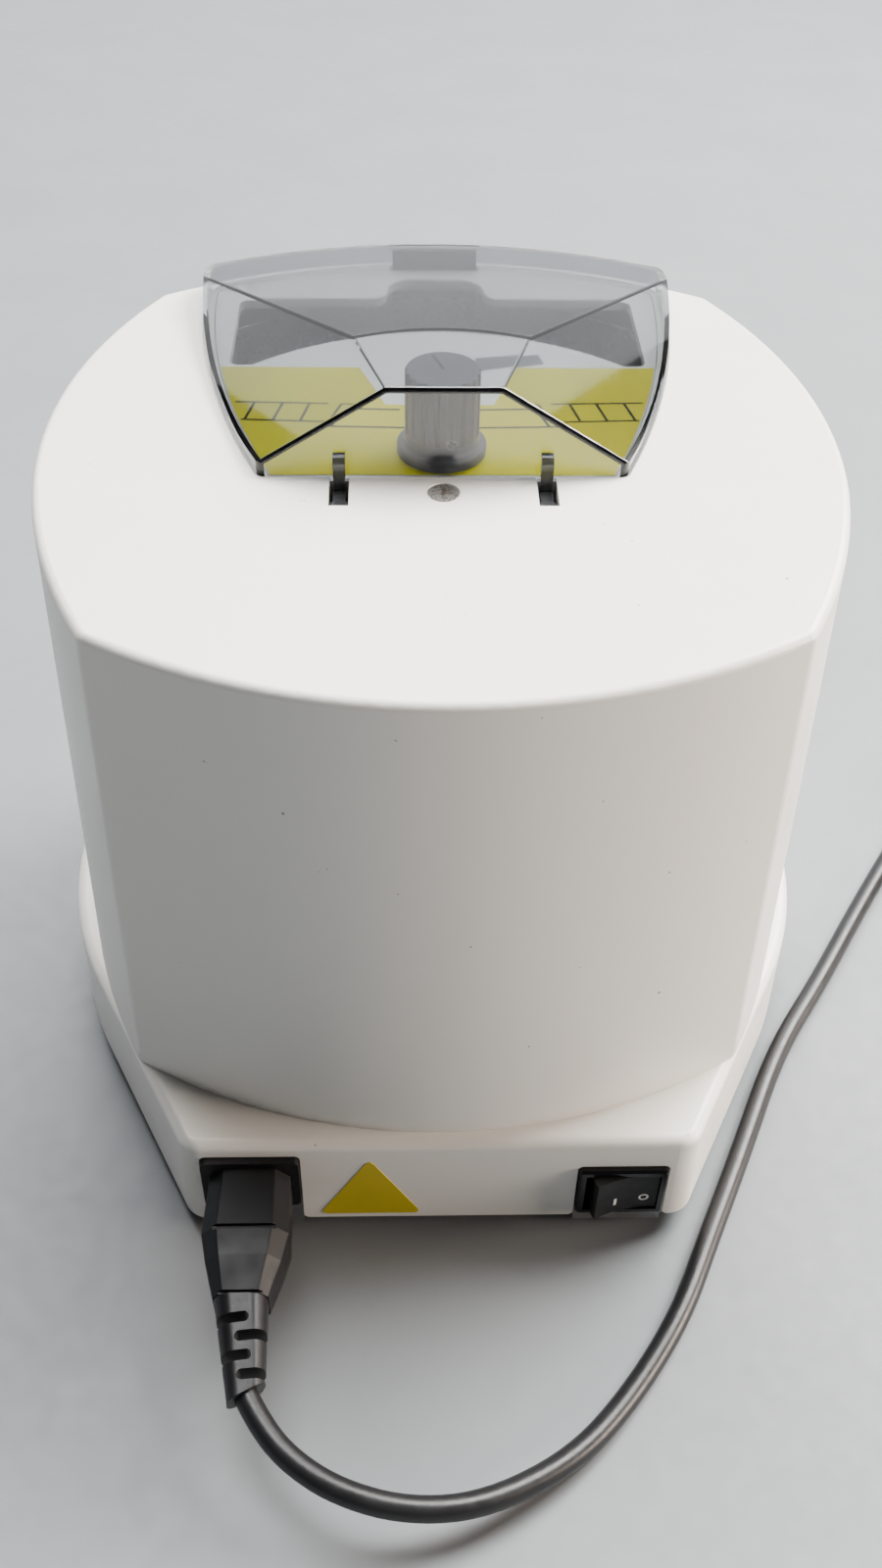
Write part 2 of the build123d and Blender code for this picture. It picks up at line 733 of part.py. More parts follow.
with BuildPart() as housing_screws:
    for x, y in corner_places(boss_x, boss_y):
        add(round_screw(x, y, base_top - base_wall, housing_screw_length))
finish(housing_screws, "housing_screws")

# ---- motor on its rubber mounts ----------------------------------------------------------
isolator_z = motor_plate_z - isolator_height
stud_height = isolator_height + motor_plate_thick + nut_height + stud_free

with BuildPart() as motor_posts:
    for x, y in post_places:
        add(round_pillar(x, y, pan_floor, motor_post_r, isolator_z - pan_floor))
        add(round_pillar(x, y, pan_floor, motor_post_foot_r, pan_wall))
        add(round_pillar(x, y, isolator_z, stud_r, stud_height))
finish(motor_posts, "motor_posts")

with BuildPart() as motor_isolators:
    for x, y in post_places:
        with Locations((x, y, isolator_z + isolator_height / 2)):
            Cylinder(isolator_r, isolator_height)
            Cylinder(stud_r + running, isolator_height, mode=Mode.SUBTRACT)
finish(motor_isolators, "motor_isolators")

with BuildPart() as motor_plate:
    with BuildSketch(Plane.XY.offset(motor_plate_z)):
        with Locations((0, rotor_y)):
            RegularPolygon(motor_plate_corner, 3, rotation=90)
            Circle(motor_plate_r, mode=Mode.INTERSECT)
            Circle(bearing_r + seat, mode=Mode.SUBTRACT)
            with PolarLocations(motor_plate_hole_ring, motor_plate_holes, motor_plate_turn):
                Circle(motor_plate_hole_r, mode=Mode.SUBTRACT)
        with Locations(*motor_screw_places):
            Circle(screw_r + running, mode=Mode.SUBTRACT)
        with Locations(*post_places):
            Circle(stud_r + running, mode=Mode.SUBTRACT)
    extrude(amount=motor_plate_thick)
finish(motor_plate, "motor_plate")

with BuildPart() as motor_nuts:
    with BuildSketch(Plane.XY.offset(motor_plate_z + motor_plate_thick)):
        with Locations(*post_places):
            RegularPolygon(nut_across / 2, 6, major_radius=False)
            Circle(stud_r + running, mode=Mode.SUBTRACT)
    extrude(amount=nut_height)
finish(motor_nuts, "motor_nuts")

with BuildPart() as motor_body:
    with BuildSketch(Plane.XY.offset(motor_z)):
        with Locations((0, rotor_y)):
            Circle(motor_r)
    extrude(amount=motor_length)
    fillet(motor_body.edges().group_by(Axis.Z)[-1], motor_round)
    with Locations((0, rotor_y, motor_z)):
        Cylinder(
            shaft_r + swing, motor_length, align=(Align.CENTER, Align.CENTER, Align.MIN),
            mode=Mode.SUBTRACT,
        )
    with BuildSketch(Plane.XY.offset(motor_plate_z)):
        with Locations((0, rotor_y)):
            Circle(bearing_r)
        with Locations(*motor_screw_places):
            Circle(screw_r + running)
    extrude(amount=-bearing_width, mode=Mode.SUBTRACT)
finish(motor_body, "motor_body")

with BuildPart() as motor_end_cap:
    with BuildSketch(Plane.XY.offset(motor_z)):
        with Locations((0, rotor_y)):
            Circle(motor_r)
    extrude(amount=-motor_cap)
    chamfer(motor_end_cap.edges().group_by(Axis.Z)[0], motor_chamfer)
    with BuildSketch(Plane.XY.offset(motor_z)):
        with Locations((0, rotor_y)):
            Circle(bearing_r)
    extrude(amount=-bearing_width, mode=Mode.SUBTRACT)
finish(motor_end_cap, "motor_end_cap")

with BuildPart() as motor_bearings:
    for z in (motor_z - bearing_width, motor_plate_z - bearing_width):
        with BuildSketch(Plane.XY.offset(z)):
            with Locations((0, rotor_y)):
                Circle(bearing_r - running)
                Circle(shaft_r + running, mode=Mode.SUBTRACT)
        extrude(amount=bearing_width - running)
finish(motor_bearings, "motor_bearings")

with BuildPart() as motor_screws:
    for x, y in motor_screw_places:
        add(
            round_screw(
                x, y, motor_plate_z + motor_plate_thick,
                motor_plate_thick + bearing_width - seat, False,
            )
        )
finish(motor_screws, "motor_screws")

# ---- rotor -------------------------------------------------------------------------------
hub_z = disc_z - hub_height
column_z = carrier_z + hub_boss_height
knob_bore_z = knob_z + knob_bore_depth
shaft_top = column_z - shaft_short

with BuildPart() as motor_shaft:
    with Locations((0, rotor_y, motor_z - bearing_width + seat)):
        Cylinder(
            shaft_r, shaft_top - motor_z + bearing_width - seat,
            align=(Align.CENTER, Align.CENTER, Align.MIN),
        )
finish(motor_shaft, "motor_shaft")

with BuildPart() as rotor_hub:
    with BuildSketch(Plane.XZ.offset(-rotor_y)):
        with Locations((0, hub_z)):
            Rectangle(hub_boss_r, hub_height, align=(Align.MIN, Align.MIN))
        with Locations((0, disc_z - hub_height / 2)):
            Rectangle(hub_r, hub_height / 2, align=(Align.MIN, Align.MIN))
        with Locations((0, disc_z)):
            Rectangle(hub_boss_r, hub_boss_height + disc_thick, align=(Align.MIN, Align.MIN))
    revolve(axis=Axis((0, rotor_y, 0), (0, 0, 1)))
    with Locations((0, rotor_y, hub_z)):
        Cylinder(
            shaft_r + running, shaft_top + running - hub_z,
            align=(Align.CENTER, Align.CENTER, Align.MIN), mode=Mode.SUBTRACT,
        )
finish(rotor_hub, "rotor_hub")

carrier_bolt_x = carrier_screw_share * carrier_half
carrier_bolt_y = (plate_inner_r + plate_outer_r) / 2
carrier_bolts = [
    (side * carrier_bolt_x, rotor_y + face * carrier_bolt_y)
    for side in (-1, 1) for face in (-1, 1)
]

with BuildPart() as rotor_disc:
    with BuildSketch(Plane.XY.offset(disc_z)):
        with Locations((0, rotor_y)):
            Circle(disc_radius)
            Circle(hub_boss_r + running, mode=Mode.SUBTRACT)
            with Locations((-disc_hole_ring, 0), (disc_hole_ring, 0)):
                SlotOverall(2 * disc_hole_r, disc_hole_r, rotation=90, mode=Mode.SUBTRACT)
            with PolarLocations(disc_small_ring, disc_small_holes, disc_small_turn):
                Circle(disc_hole_r / 2, mode=Mode.SUBTRACT)
        with Locations(*carrier_bolts):
            Circle(screw_r + running, mode=Mode.SUBTRACT)
    extrude(amount=disc_thick)
finish(rotor_disc, "rotor_disc")


def plate_carrier(face):
    """An open-topped holder for one upright plate; face is -1 at the front and 1 at the rear."""
    middle = (carrier_inner + carrier_outer) / 2
    depth = carrier_outer - carrier_inner
    cheek = carrier_half - 2 * carrier_wall
    with BuildPart() as holder:
        with BuildSketch(Plane.XY.offset(carrier_z)):
            with Locations((0, middle)):
                Rectangle(2 * carrier_half, depth)
        extrude(amount=carrier_height)
        uprights = holder.edges().filter_by(Axis.Z).group_by(Axis.Y)[-1]
        chamfer(uprights, carrier_corner - running)
        with BuildSketch(Plane.XY.offset(carrier_z + carrier_wall)):
            with Locations((0, middle)):
                Rectangle(2 * (carrier_half - carrier_wall), depth - 2 * carrier_wall)
        extrude(amount=carrier_height, mode=Mode.SUBTRACT)
        # the wall near the axis is low, with sloping shoulders; the far wall has a window
        with BuildSketch(Plane.XZ.offset(-carrier_inner + carrier_wall)):
            with BuildLine():
                Polyline(
                    (-cheek, carrier_z + 2 * carrier_height),
                    (-cheek, carrier_z + carrier_shoulder_height),
                    (-cheek / 2, carrier_z + carrier_inner_height),
                    (cheek / 2, carrier_z + carrier_inner_height),
                    (cheek, carrier_z + carrier_shoulder_height),
                    (cheek, carrier_z + 2 * carrier_height), close=True,
                )
            make_face()
        extrude(amount=-3 * carrier_wall, mode=Mode.SUBTRACT)
        with BuildSketch(Plane.XZ.offset(-carrier_outer - carrier_wall)):
            with Locations((0, carrier_z + carrier_height / 2)):
                RectangleRounded(carrier_window_w, carrier_window_h, 2 * carrier_corner)
        extrude(amount=3 * carrier_wall, mode=Mode.SUBTRACT)
        with BuildSketch(Plane.XY.offset(carrier_z)):
            with Locations((carrier_bolt_x, carrier_bolt_y), (-carrier_bolt_x, carrier_bolt_y)):
                Circle(screw_r + running)
        extrude(amount=carrier_wall, mode=Mode.SUBTRACT)
    placed = holder.part if face > 0 else holder.part.mirror(Plane.XZ)
    return Pos(0, rotor_y, 0) * placed


with BuildPart() as carrier_front:
    add(plate_carrier(-1))
finish(carrier_front, "carrier_front")

with BuildPart() as carrier_rear:
    add(plate_carrier(1))
finish(carrier_rear, "carrier_rear")

with BuildPart() as carrier_screws:
    for x, y in carrier_bolts:
        add(round_screw(x, y, disc_z, disc_thick + carrier_wall - running))
finish(carrier_screws, "carrier_screws")

with BuildPart() as drive_column:
    with Locations((0, rotor_y, column_z)):
        Cylinder(
            column_r, knob_bore_z - column_z, align=(Align.CENTER, Align.CENTER, Align.MIN)
        )
    chamfer(drive_column.edges().group_by(Axis.Z)[-1], column_chamfer)
finish(drive_column, "drive_column")

# ---- knob --------------------------------------------------------------------------------
screw_plane = Plane(
    origin=(0, rotor_y, knob_z + set_screw_z),
    x_dir=(-sin(radians(knob_turn)), cos(radians(knob_turn)), 0),
    z_dir=(cos(radians(knob_turn)), sin(radians(knob_turn)), 0),
)

with BuildPart() as knob:
    with BuildSketch(Plane.XZ.offset(-rotor_y)):
        with Locations((0, knob_z)):
            Rectangle(knob_flange_r, knob_flange_height, align=(Align.MIN, Align.MIN))
            Rectangle(knob_r, knob_height, align=(Align.MIN, Align.MIN))
    revolve(axis=Axis((0, rotor_y, 0), (0, 0, 1)))
    fillet(knob.edges().group_by(Axis.Z)[-1], knob_rib_r)
    fillet(knob.edges().group_by(Axis.Z)[2], knob_rib_r)
    with BuildSketch(Plane.XY.offset(knob_z + 2 * knob_flange_height)):
        with Locations((0, rotor_y)):
            with PolarLocations(knob_r + knob_rib_r - knob_rib_sink, knob_ribs):
                Circle(knob_rib_r)
    extrude(amount=knob_height, mode=Mode.SUBTRACT)
    with Locations((0, rotor_y, knob_z)):
        Cylinder(
            column_r + running, knob_bore_z + running - knob_z,
            align=(Align.CENTER, Align.CENTER, Align.MIN), mode=Mode.SUBTRACT,
        )
    with BuildSketch(screw_plane.offset(column_r)):
        Circle(set_screw_r + running)
    extrude(amount=knob_flange_r, mode=Mode.SUBTRACT)
finish(knob, "knob")

with BuildPart() as knob_set_screw:
    with BuildSketch(screw_plane.offset(column_r + running)):
        Circle(set_screw_r)
    extrude(amount=knob_r - column_r - running - set_screw_in)
    with BuildSketch(screw_plane.offset(knob_r - set_screw_in)):
        RegularPolygon(set_screw_socket, 6)
    extrude(amount=-set_screw_r, mode=Mode.SUBTRACT)
finish(knob_set_screw, "knob_set_screw")

# ---- chamber bowl ------------------------------------------------------------------------
bowl_places = ring_places(bowl_post_ring, (45, 135, 225, 315))

with BuildPart() as chamber_bowl:
    with BuildSketch(Plane.XZ.offset(-rotor_y)):
        with BuildLine():
            FilletPolyline(
                (bowl_hole_r, bowl_z), (bowl_r, bowl_z), (bowl_r, rim_z), radius=bowl_round,
            )
            offset(amount=bowl_wall, side=Side.LEFT, closed=True)
        make_face()
    revolve(axis=Axis((0, rotor_y, 0), (0, 0, 1)))
    with BuildSketch(Plane.XY.offset(bowl_z)):
        with Locations(*bowl_places):
            Circle(screw_r + running)
    extrude(amount=bowl_wall, mode=Mode.SUBTRACT)
finish(chamber_bowl, "chamber_bowl")

with BuildPart() as bowl_posts:
    with BuildSketch(Plane.XY.offset(base_top)):
        with Locations(*bowl_places):
            Circle(bowl_post_r)
    extrude(amount=bowl_z - base_top)
    with BuildSketch(Plane.XY.offset(bowl_z)):
        with Locations(*bowl_places):
            Circle(screw_r + running)
    extrude(amount=-bowl_post_bore, mode=Mode.SUBTRACT)
finish(bowl_posts, "bowl_posts")

with BuildPart() as bowl_screws:
    for x, y in bowl_places:
        add(round_screw(x, y, bowl_z + bowl_wall, bowl_screw_length, False))
finish(bowl_screws, "bowl_screws")

# ---- deck --------------------------------------------------------------------------------
with BuildPart() as deck_plate:
    with BuildSketch(Plane.XY.offset(deck_under)):
        add(lid_outline(deck_inset))
        with BuildSketch(mode=Mode.PRIVATE) as plate_slot:
            with BuildLine():
                Polyline(
                    (slot_rear_half, slot_rear_end), (slot_half, slot_rear_end),
                    (slot_half, slot_front), (-slot_half, slot_front),
                    (-slot_half, slot_rear_end), (-slot_rear_half, slot_rear_end),
                )
                ThreePointArc(
                    (-slot_rear_half, slot_rear_end), (0, slot_rear),
                    (slot_rear_half, slot_rear_end),
                )
            make_face()
            fillet(plate_slot.vertices(), slot_round)
            with Locations((0, slot_front)):
                RectangleRounded(2 * notch_half, 2 * notch_depth, notch_round)
            fillet(
                plate_slot.vertices().filter_by(
                    lambda v: abs(v.Y - slot_front) < seat and abs(abs(v.X) - notch_half) < seat
                ),
                notch_sweep,
            )
        add(plate_slot.sketch, mode=Mode.SUBTRACT)
        with Locations((0, rotor_y)):
            Circle(column_r + deck_hole_play, mode=Mode.SUBTRACT)
        with Locations((0, (flag_front + flag_rear) / 2)):
            Rectangle(
                2 * (flag_half + flag_play), flag_thick + 2 * flag_play, mode=Mode.SUBTRACT
            )
    extrude(amount=deck_thick)
finish(deck_plate, "deck_plate")

with BuildPart() as deck_film:
    with BuildSketch(Plane.XY.offset(deck_z)):
        add(lid_outline(deck_inset + seat))
        with Locations((0, film_front)):
            Rectangle(
                4 * lid_rear_half, 4 * lid_rear_half, align=(Align.CENTER, Align.MAX),
                mode=Mode.SUBTRACT,
            )
        with BuildSketch(mode=Mode.PRIVATE) as knob_cut:
            with BuildLine():
                Polyline(
                    (-film_cut_half, film_front - swing), (film_cut_half, film_front - swing),
                    (film_cut_half_rear, film_cut_rear), (-film_cut_half_rear, film_cut_rear),
                    close=True,
                )
            make_face()
        add(knob_cut.sketch, mode=Mode.SUBTRACT)
        with Locations((0, rotor_y)):
            Circle(column_r + deck_hole_play + swing, mode=Mode.SUBTRACT)
    extrude(amount=film_thick)
finish(deck_film, "deck_film")


# ---- lid ---------------------------------------------------------------------------------
def lid_form(inset):
    """The faceted lid as a solid, every face moved in by inset, its lower side left open."""
    cone_centre = lid_front_y + lid_front_r
    cone_inner = cone_centre - facet_front_y
    cone_low = top_z + lid_skirt_front
    cone_slope = (lid_top - cone_low) / (lid_front_r - cone_inner)
    sink = inset / cos(atan2(cone_slope, 1))
    corner_angle = asin(facet_front_half / cone_inner)
    corner = Vector(facet_front_half, cone_centre - cone_inner * cos(corner_angle), lid_top)
    rear = Vector(facet_rear_half, lid_rear_y - rear_lean, lid_top)
    low = Vector(lid_rear_half, lid_rear_y, top_z + lid_skirt_rear)
    side_normal = (rear - corner).cross(low - rear).normalized()
    if side_normal.Z < 0:
        side_normal = side_normal * -1
    mirrored = Vector(-side_normal.X, side_normal.Y, side_normal.Z)
    rear_normal = Vector(0, lid_top - lid_bottom, rear_lean).normalized()
    floor_z = lid_bottom - inset
    roof_z = lid_top + lid_wall
    outer_r = lid_front_r + lid_wall
    with BuildPart() as form:
        with BuildSketch(Plane.XY.offset(floor_z)):
            add(lid_outline(inset))
        extrude(amount=lid_top - floor_z - inset)
        with BuildSketch(Plane.XZ.offset(-cone_centre)):
            with BuildLine():
                Polyline(
                    (0, floor_z), (outer_r, floor_z),
                    (outer_r, cone_low - lid_wall * cone_slope - sink),
                    (cone_inner, lid_top - sink), (cone_inner, roof_z), (0, roof_z),
                    close=True,
                )
            make_face()
        revolve(axis=Axis((0, cone_centre, 0), (0, 0, 1)), mode=Mode.INTERSECT)
        split(bisect_by=Plane(origin=corner, z_dir=side_normal).offset(-inset), keep=Keep.BOTTOM)
        split(
            bisect_by=Plane(origin=(-corner.X, corner.Y, corner.Z), z_dir=mirrored).offset(-inset),
            keep=Keep.BOTTOM,
        )
        split(
            bisect_by=Plane(origin=(0, lid_rear_y, lid_bottom), z_dir=rear_normal).offset(-inset),
            keep=Keep.BOTTOM,
        )
    return form.part


def hinge_arm(x):
    """An arm behind the lid: a rib on the rear facet, a bar under it and a knuckle at its end."""
    rib_z = top_z + arm_top
    wall_y = lid_rear_y - lid_wall / 2
    heel_y = lid_rear_y + arm_thick
    with BuildPart() as arm:
        with BuildSketch(Plane.YZ.offset(x - arm_width / 2)):
            with BuildLine():
                Polyline(
                    (wall_y, rib_z), (heel_y, rib_z), (heel_y, hinge_z + arm_rise),
                    (hinge_y, hinge_z + arm_rise), (hinge_y, hinge_z - seat),
                    (lid_rear_y, hinge_z - seat), (lid_rear_y, lid_bottom), (wall_y, lid_bottom),
                    close=True,
                )
            make_face()
        extrude(amount=arm_width)
        tops = arm.edges().filter_by(Axis.X).filter_by(
            lambda e: abs(e.center().Y - heel_y) < near and abs(e.center().Z - rib_z) < near
        )
        fillet(tops, arm_round)
        with Locations(Location((x, hinge_y, hinge_z), (0, 90, 0))):
            Cylinder(knuckle_r, knuckle_width)
            Cylinder(pin_r + running, 2 * knuckle_width, mode=Mode.SUBTRACT)
    return arm.part


with BuildPart() as lid:
    add(lid_form(0))
    lid_rear_rim = top_z + lid_skirt_rear
    facet_edges = lid.edges().filter_by(
        lambda e: e.bounding_box().max.Z > lid_top - facet_round and e.center().Z > lid_rear_rim
    )
    fillet(facet_edges, facet_round)
    add(lid_form(lid_wall), mode=Mode.SUBTRACT)
    for x in (-hinge_x, hinge_x):
        add(hinge_arm(x))
finish(lid, "lid")

with BuildPart() as interlock_flag:
    with BuildSketch(Plane.XY.offset(flag_top - flag_height)):
        add(lid_outline(lid_wall + running))
        with Locations((0, flag_rear)):
            Rectangle(
                2 * flag_half, 2 * flag_thick, align=(Align.CENTER, Align.MAX),
                mode=Mode.INTERSECT,
            )
    extrude(amount=flag_height)
    fillet(interlock_flag.edges().filter_by(Axis.Y).group_by(Axis.Z)[0], flag_thick)
finish(interlock_flag, "interlock_flag")

with BuildPart() as lid_sensor:
    with Locations((0, flag_rear + 2 * swing, frame_z - seat)):
        Box(
            2 * sensor_half, rotor_y - bowl_r - sensor_gap - flag_rear - 2 * swing, sensor_height,
            align=(Align.CENTER, Align.MIN, Align.MAX),
        )
    fillet(lid_sensor.edges().filter_by(Axis.Z), sensor_round)
finish(lid_sensor, "lid_sensor")

# ---- hinge bracket, pins and screw -------------------------------------------------------
bracket_front = lid_rear_y + frame_border + seat
bracket_top = top_z - shell - (bracket_rear - crease_y) * tan(radians(rear_slope)) - seat

with BuildPart() as hinge_bracket:
    with Locations((0, (bracket_front + bracket_rear) / 2, bracket_top)):
        Box(
            2 * bracket_half, bracket_rear - bracket_front, bracket_height,
            align=(Align.CENTER, Align.CENTER, Align.MAX),
        )
    fillet(hinge_bracket.edges().filter_by(Axis.Z), bracket_round)
    # lightened between the ears, with a seat for the screw in the middle
    for x in (-hinge_x / 2 - bracket_shift, hinge_x / 2 + bracket_shift):
        with Locations((x, bracket_front, bracket_top)):
            Box(
                hinge_x - 2 * (hinge_ear + bracket_shift) - slot_width,
                bracket_rear - bracket_front - bracket_web, bracket_height - bracket_web,
                align=(Align.CENTER, Align.MIN, Align.MAX), mode=Mode.SUBTRACT,
            )
    for x in (-hinge_x, hinge_x):
        with Locations((x, bracket_front, bracket_top)):
            Box(
                slot_width, slot_end - bracket_front, bracket_top - hinge_z + knuckle_r + swing,
                align=(Align.CENTER, Align.MIN, Align.MAX), mode=Mode.SUBTRACT,
            )
        with Locations(Location((x, hinge_y, hinge_z), (0, 90, 0))):
            Cylinder(pin_r + running, slot_width + 2 * hinge_ear, mode=Mode.SUBTRACT)
    with Locations((0, cone_y, bracket_top)):
        Cylinder(
            cone_screw_r + running, cone_screw_length, mode=Mode.SUBTRACT,
            align=(Align.CENTER, Align.CENTER, Align.MAX),
        )
finish(hinge_bracket, "hinge_bracket")

with BuildPart() as hinge_pins:
    with Locations(
        *[Location((x, hinge_y, hinge_z), (0, 90, 0)) for x in (-hinge_x, hinge_x)]
    ):
        Cylinder(pin_r, slot_width + 2 * hinge_ear)
finish(hinge_pins, "hinge_pins")


def cross_screw(x, y, z):
    """A countersunk screw with a cross recess, its flat head's face at height z."""
    with BuildPart() as screw:
        with BuildSketch(Plane.XZ):
            with BuildLine():
                Polyline(
                    (0, 0), (cone_head_r, 0), (cone_screw_r, cone_screw_r - cone_head_r),
                    (cone_screw_r, -cone_screw_length), (0, -cone_screw_length), close=True,
                )
            make_face()
        revolve(axis=Axis.Z)
        with BuildSketch(Plane.XY):
            Rectangle(cross_length, cross_width)
            Rectangle(cross_width, cross_length)
        extrude(amount=-cross_depth, mode=Mode.SUBTRACT)
    return Pos(x, y, z) * screw.part


with BuildPart() as hinge_screw:
    add(cross_screw(0, cone_y, cone_z - running))
finish(hinge_screw, "hinge_screw")


# ---- power inlet -------------------------------------------------------------------------
def inlet_profile(width, height, bevel):
    """A rectangle whose two upper corners are cut off."""
    with BuildSketch() as profile:
        with BuildLine():
            Polyline(
                (-width / 2, -height / 2), (width / 2, -height / 2),
                (width / 2, height / 2 - bevel), (width / 2 - bevel, height / 2),
                (-width / 2 + bevel, height / 2), (-width / 2, height / 2 - bevel), close=True,
            )
        make_face()
        fillet(profile.vertices(), profile_round)
    return profile.sketch


blade_places = [(-blade_spacing, 0), (blade_spacing, 0), (0, earth_drop)]
socket_back = flange_front - socket_depth

with BuildPart() as power_inlet:
    with BuildSketch(facing_rear(inlet_x, flange_back, inlet_z)):
        RectangleRounded(inlet_width, inlet_height, cutout_round)
    extrude(amount=flange_thick)
    with BuildSketch(facing_rear(inlet_x, flange_back, inlet_z)):
        RectangleRounded(
            inlet_width - 2 * (flange_lap + seat), inlet_height - 2 * (flange_lap + seat),
            profile_round,
        )
    extrude(amount=-(inlet_depth - flange_thick))
    with BuildSketch(facing_rear(inlet_x, socket_back, inlet_z)):
        add(inlet_profile(socket_width, socket_height, socket_bevel))
    extrude(amount=socket_depth, mode=Mode.SUBTRACT)
    with BuildSketch(facing_rear(inlet_x, socket_back, inlet_z)):
        with Locations(*blade_places):
            Rectangle(blade_thick, blade_width)
    extrude(amount=-blade_tail, mode=Mode.SUBTRACT)
finish(power_inlet, "power_inlet")

with BuildPart() as inlet_pins:
    with BuildSketch(facing_rear(inlet_x, socket_back - blade_tail, inlet_z)):
        with Locations(*blade_places):
            Rectangle(blade_thick, blade_width)
    extrude(amount=blade_length + blade_tail)
finish(inlet_pins, "inlet_pins")

# ---- power switch ------------------------------------------------------------------------
opening_half_height = rocker_height / 2 + seat
switch_body_width = switch_width - 2 * (flange_lap + seat)
switch_body_height = switch_height - 2 * (flange_lap + seat)
switch_floor_y = flange_front - switch_depth + flange_thick / 2

with BuildPart() as switch_bezel:
    with BuildSketch(facing_rear(switch_x, flange_back, switch_z)):
        RectangleRounded(switch_width, switch_height, bezel_round)
    extrude(amount=flange_thick)
    chamfer(switch_bezel.edges().group_by(Axis.Y)[-1], bezel_chamfer)
    with BuildSketch(facing_rear(switch_x, flange_back, switch_z)):
        RectangleRounded(switch_body_width, switch_body_height, profile_round)
    extrude(amount=-(switch_depth - flange_thick))
    with BuildSketch(facing_rear(switch_x, switch_floor_y, switch_z)):
        Rectangle(2 * switch_opening, 2 * opening_half_height)
    extrude(amount=switch_depth, mode=Mode.SUBTRACT)
    with Locations((switch_x, pivot_y, switch_z)):
        Cylinder(rocker_pin_r + running, 2 * switch_height, mode=Mode.SUBTRACT)
finish(switch_bezel, "switch_bezel")


def rocker_plane(z):
    """A level plane through the rocker's pivot, turned to its rest position."""
    turn = radians(rocker_tilt)
    return Plane(origin=(switch_x, pivot_y, z), x_dir=(cos(turn), sin(turn), 0), z_dir=(0, 0, 1))


rocker_tail = rocker_half - rocker_narrow

with BuildPart() as rocker:
    with BuildSketch(rocker_plane(switch_z - rocker_height / 2)):
        with BuildLine():
            ThreePointArc(
                (-rocker_half, rocker_face), (0, rocker_face - rocker_dish),
                (rocker_half, rocker_face),
            )
            ThreePointArc(
                (rocker_half, rocker_face), (rocker_half + rocker_bulge, rocker_face / 2),
                (rocker_tail, -rocker_back / 2),
            )
            ThreePointArc(
                (rocker_tail, -rocker_back / 2), (0, -rocker_back),
                (-rocker_tail, -rocker_back / 2),
            )
            ThreePointArc(
                (-rocker_tail, -rocker_back / 2), (-rocker_half - rocker_bulge, rocker_face / 2),
                (-rocker_half, rocker_face),
            )
        make_face()
    extrude(amount=rocker_height)
    with Locations((switch_x, pivot_y, switch_z)):
        Cylinder(rocker_pin_r, rocker_height + 2 * rocker_pin_length)
finish(rocker, "rocker")

# ---- plain triangular sticker on the rear face -------------------------------------------
sign_lean = Plane(
    origin=(sign_x, rear_face + (base_top - sign_z) * tan(radians(base_draft)), sign_z),
    x_dir=(-1, 0, 0),
    z_dir=(0, cos(radians(base_draft)), sin(radians(base_draft))),
)

with BuildPart() as rear_sticker:
    with BuildSketch(sign_lean) as sticker_face:
        with BuildLine():
            Polyline((-sign_half, 0), (sign_half, 0), (0, sign_height), close=True)
        make_face()
        fillet(sticker_face.vertices(), sign_round)
    extrude(amount=sign_thick)
finish(rear_sticker, "rear_sticker")

# ---- start button and pilot lamp at the front --------------------------------------------
button_face = Plane.XZ.offset(front_pocket)

with BuildPart() as button_bezel:
    with BuildSketch(button_face):
        with Locations((button_x, button_z)):
            Circle(button_bezel_r)
    extrude(amount=button_bezel_thick)
    fillet(button_bezel.edges().group_by(Axis.Y)[0], button_bezel_thick / 2)
    with BuildSketch(button_face):
        with Locations((button_x, button_z)):
            Circle(sleeve_r)
    extrude(amount=-sleeve_length)
    with BuildSketch(button_face.offset(button_bezel_thick)):
        with Locations((button_x, button_z)):
            Circle(button_r + running)
    extrude(amount=-(button_bezel_thick + sleeve_bore), mode=Mode.SUBTRACT)
finish(button_bezel, "button_bezel")

with BuildPart() as start_button:
    with BuildSketch(button_face.offset(button_bezel_thick + button_proud)):
        with Locations((button_x, button_z)):
            Circle(button_r)
    extrude(amount=-(button_proud + button_bezel_thick + button_r))
    fillet(start_button.edges().group_by(Axis.Y)[0], button_round)
finish(start_button, "start_button")

with BuildPart() as button_spring:
    with BuildSketch(button_face.offset(seat - sleeve_bore)):
        with Locations((button_x, button_z)):
            Circle(spring_r)
            Circle(spring_r - spring_wall, mode=Mode.SUBTRACT)
    extrude(amount=sleeve_bore - button_r - button_travel - 3 * seat)
finish(button_spring, "button_spring")

with BuildPart() as pilot_lamp:
    with BuildSketch(button_face):
        with Locations((lamp_x, button_z)):
            Circle(lamp_r)
    extrude(amount=-lamp_length)
    with BuildSketch(button_face):
        with Locations((lamp_x, button_z)):
            Circle(lamp_dome_r)
    extrude(amount=lamp_proud)
    fillet(pilot_lamp.edges().group_by(Axis.Y)[0], lamp_round)
finish(pilot_lamp, "pilot_lamp")

# ---- boards on their standoffs -----------------------------------------------------------
board_z = pan_floor + standoff_height

with BuildPart() as board_standoffs:
    for x, y in standoff_places:
        add(round_pillar(x, y, pan_floor, standoff_r, standoff_height))
finish(board_standoffs, "board_standoffs")

with BuildPart() as control_board:
    with BuildSketch(Plane.XY.offset(board_z)):
        with Locations((0, control_y)):
            Rectangle(2 * control_half_x, 2 * control_half_y)
    extrude(amount=board_thick)
    with BuildSketch(Plane.XY.offset(board_z + board_thick)):
        with Locations((0, control_y)):
            with GridLocations(2 * chip_long, 3 * chip_wide, 3, 2):
                Rectangle(chip_long, chip_wide)
    extrude(amount=chip_high)
finish(control_board, "control_board")

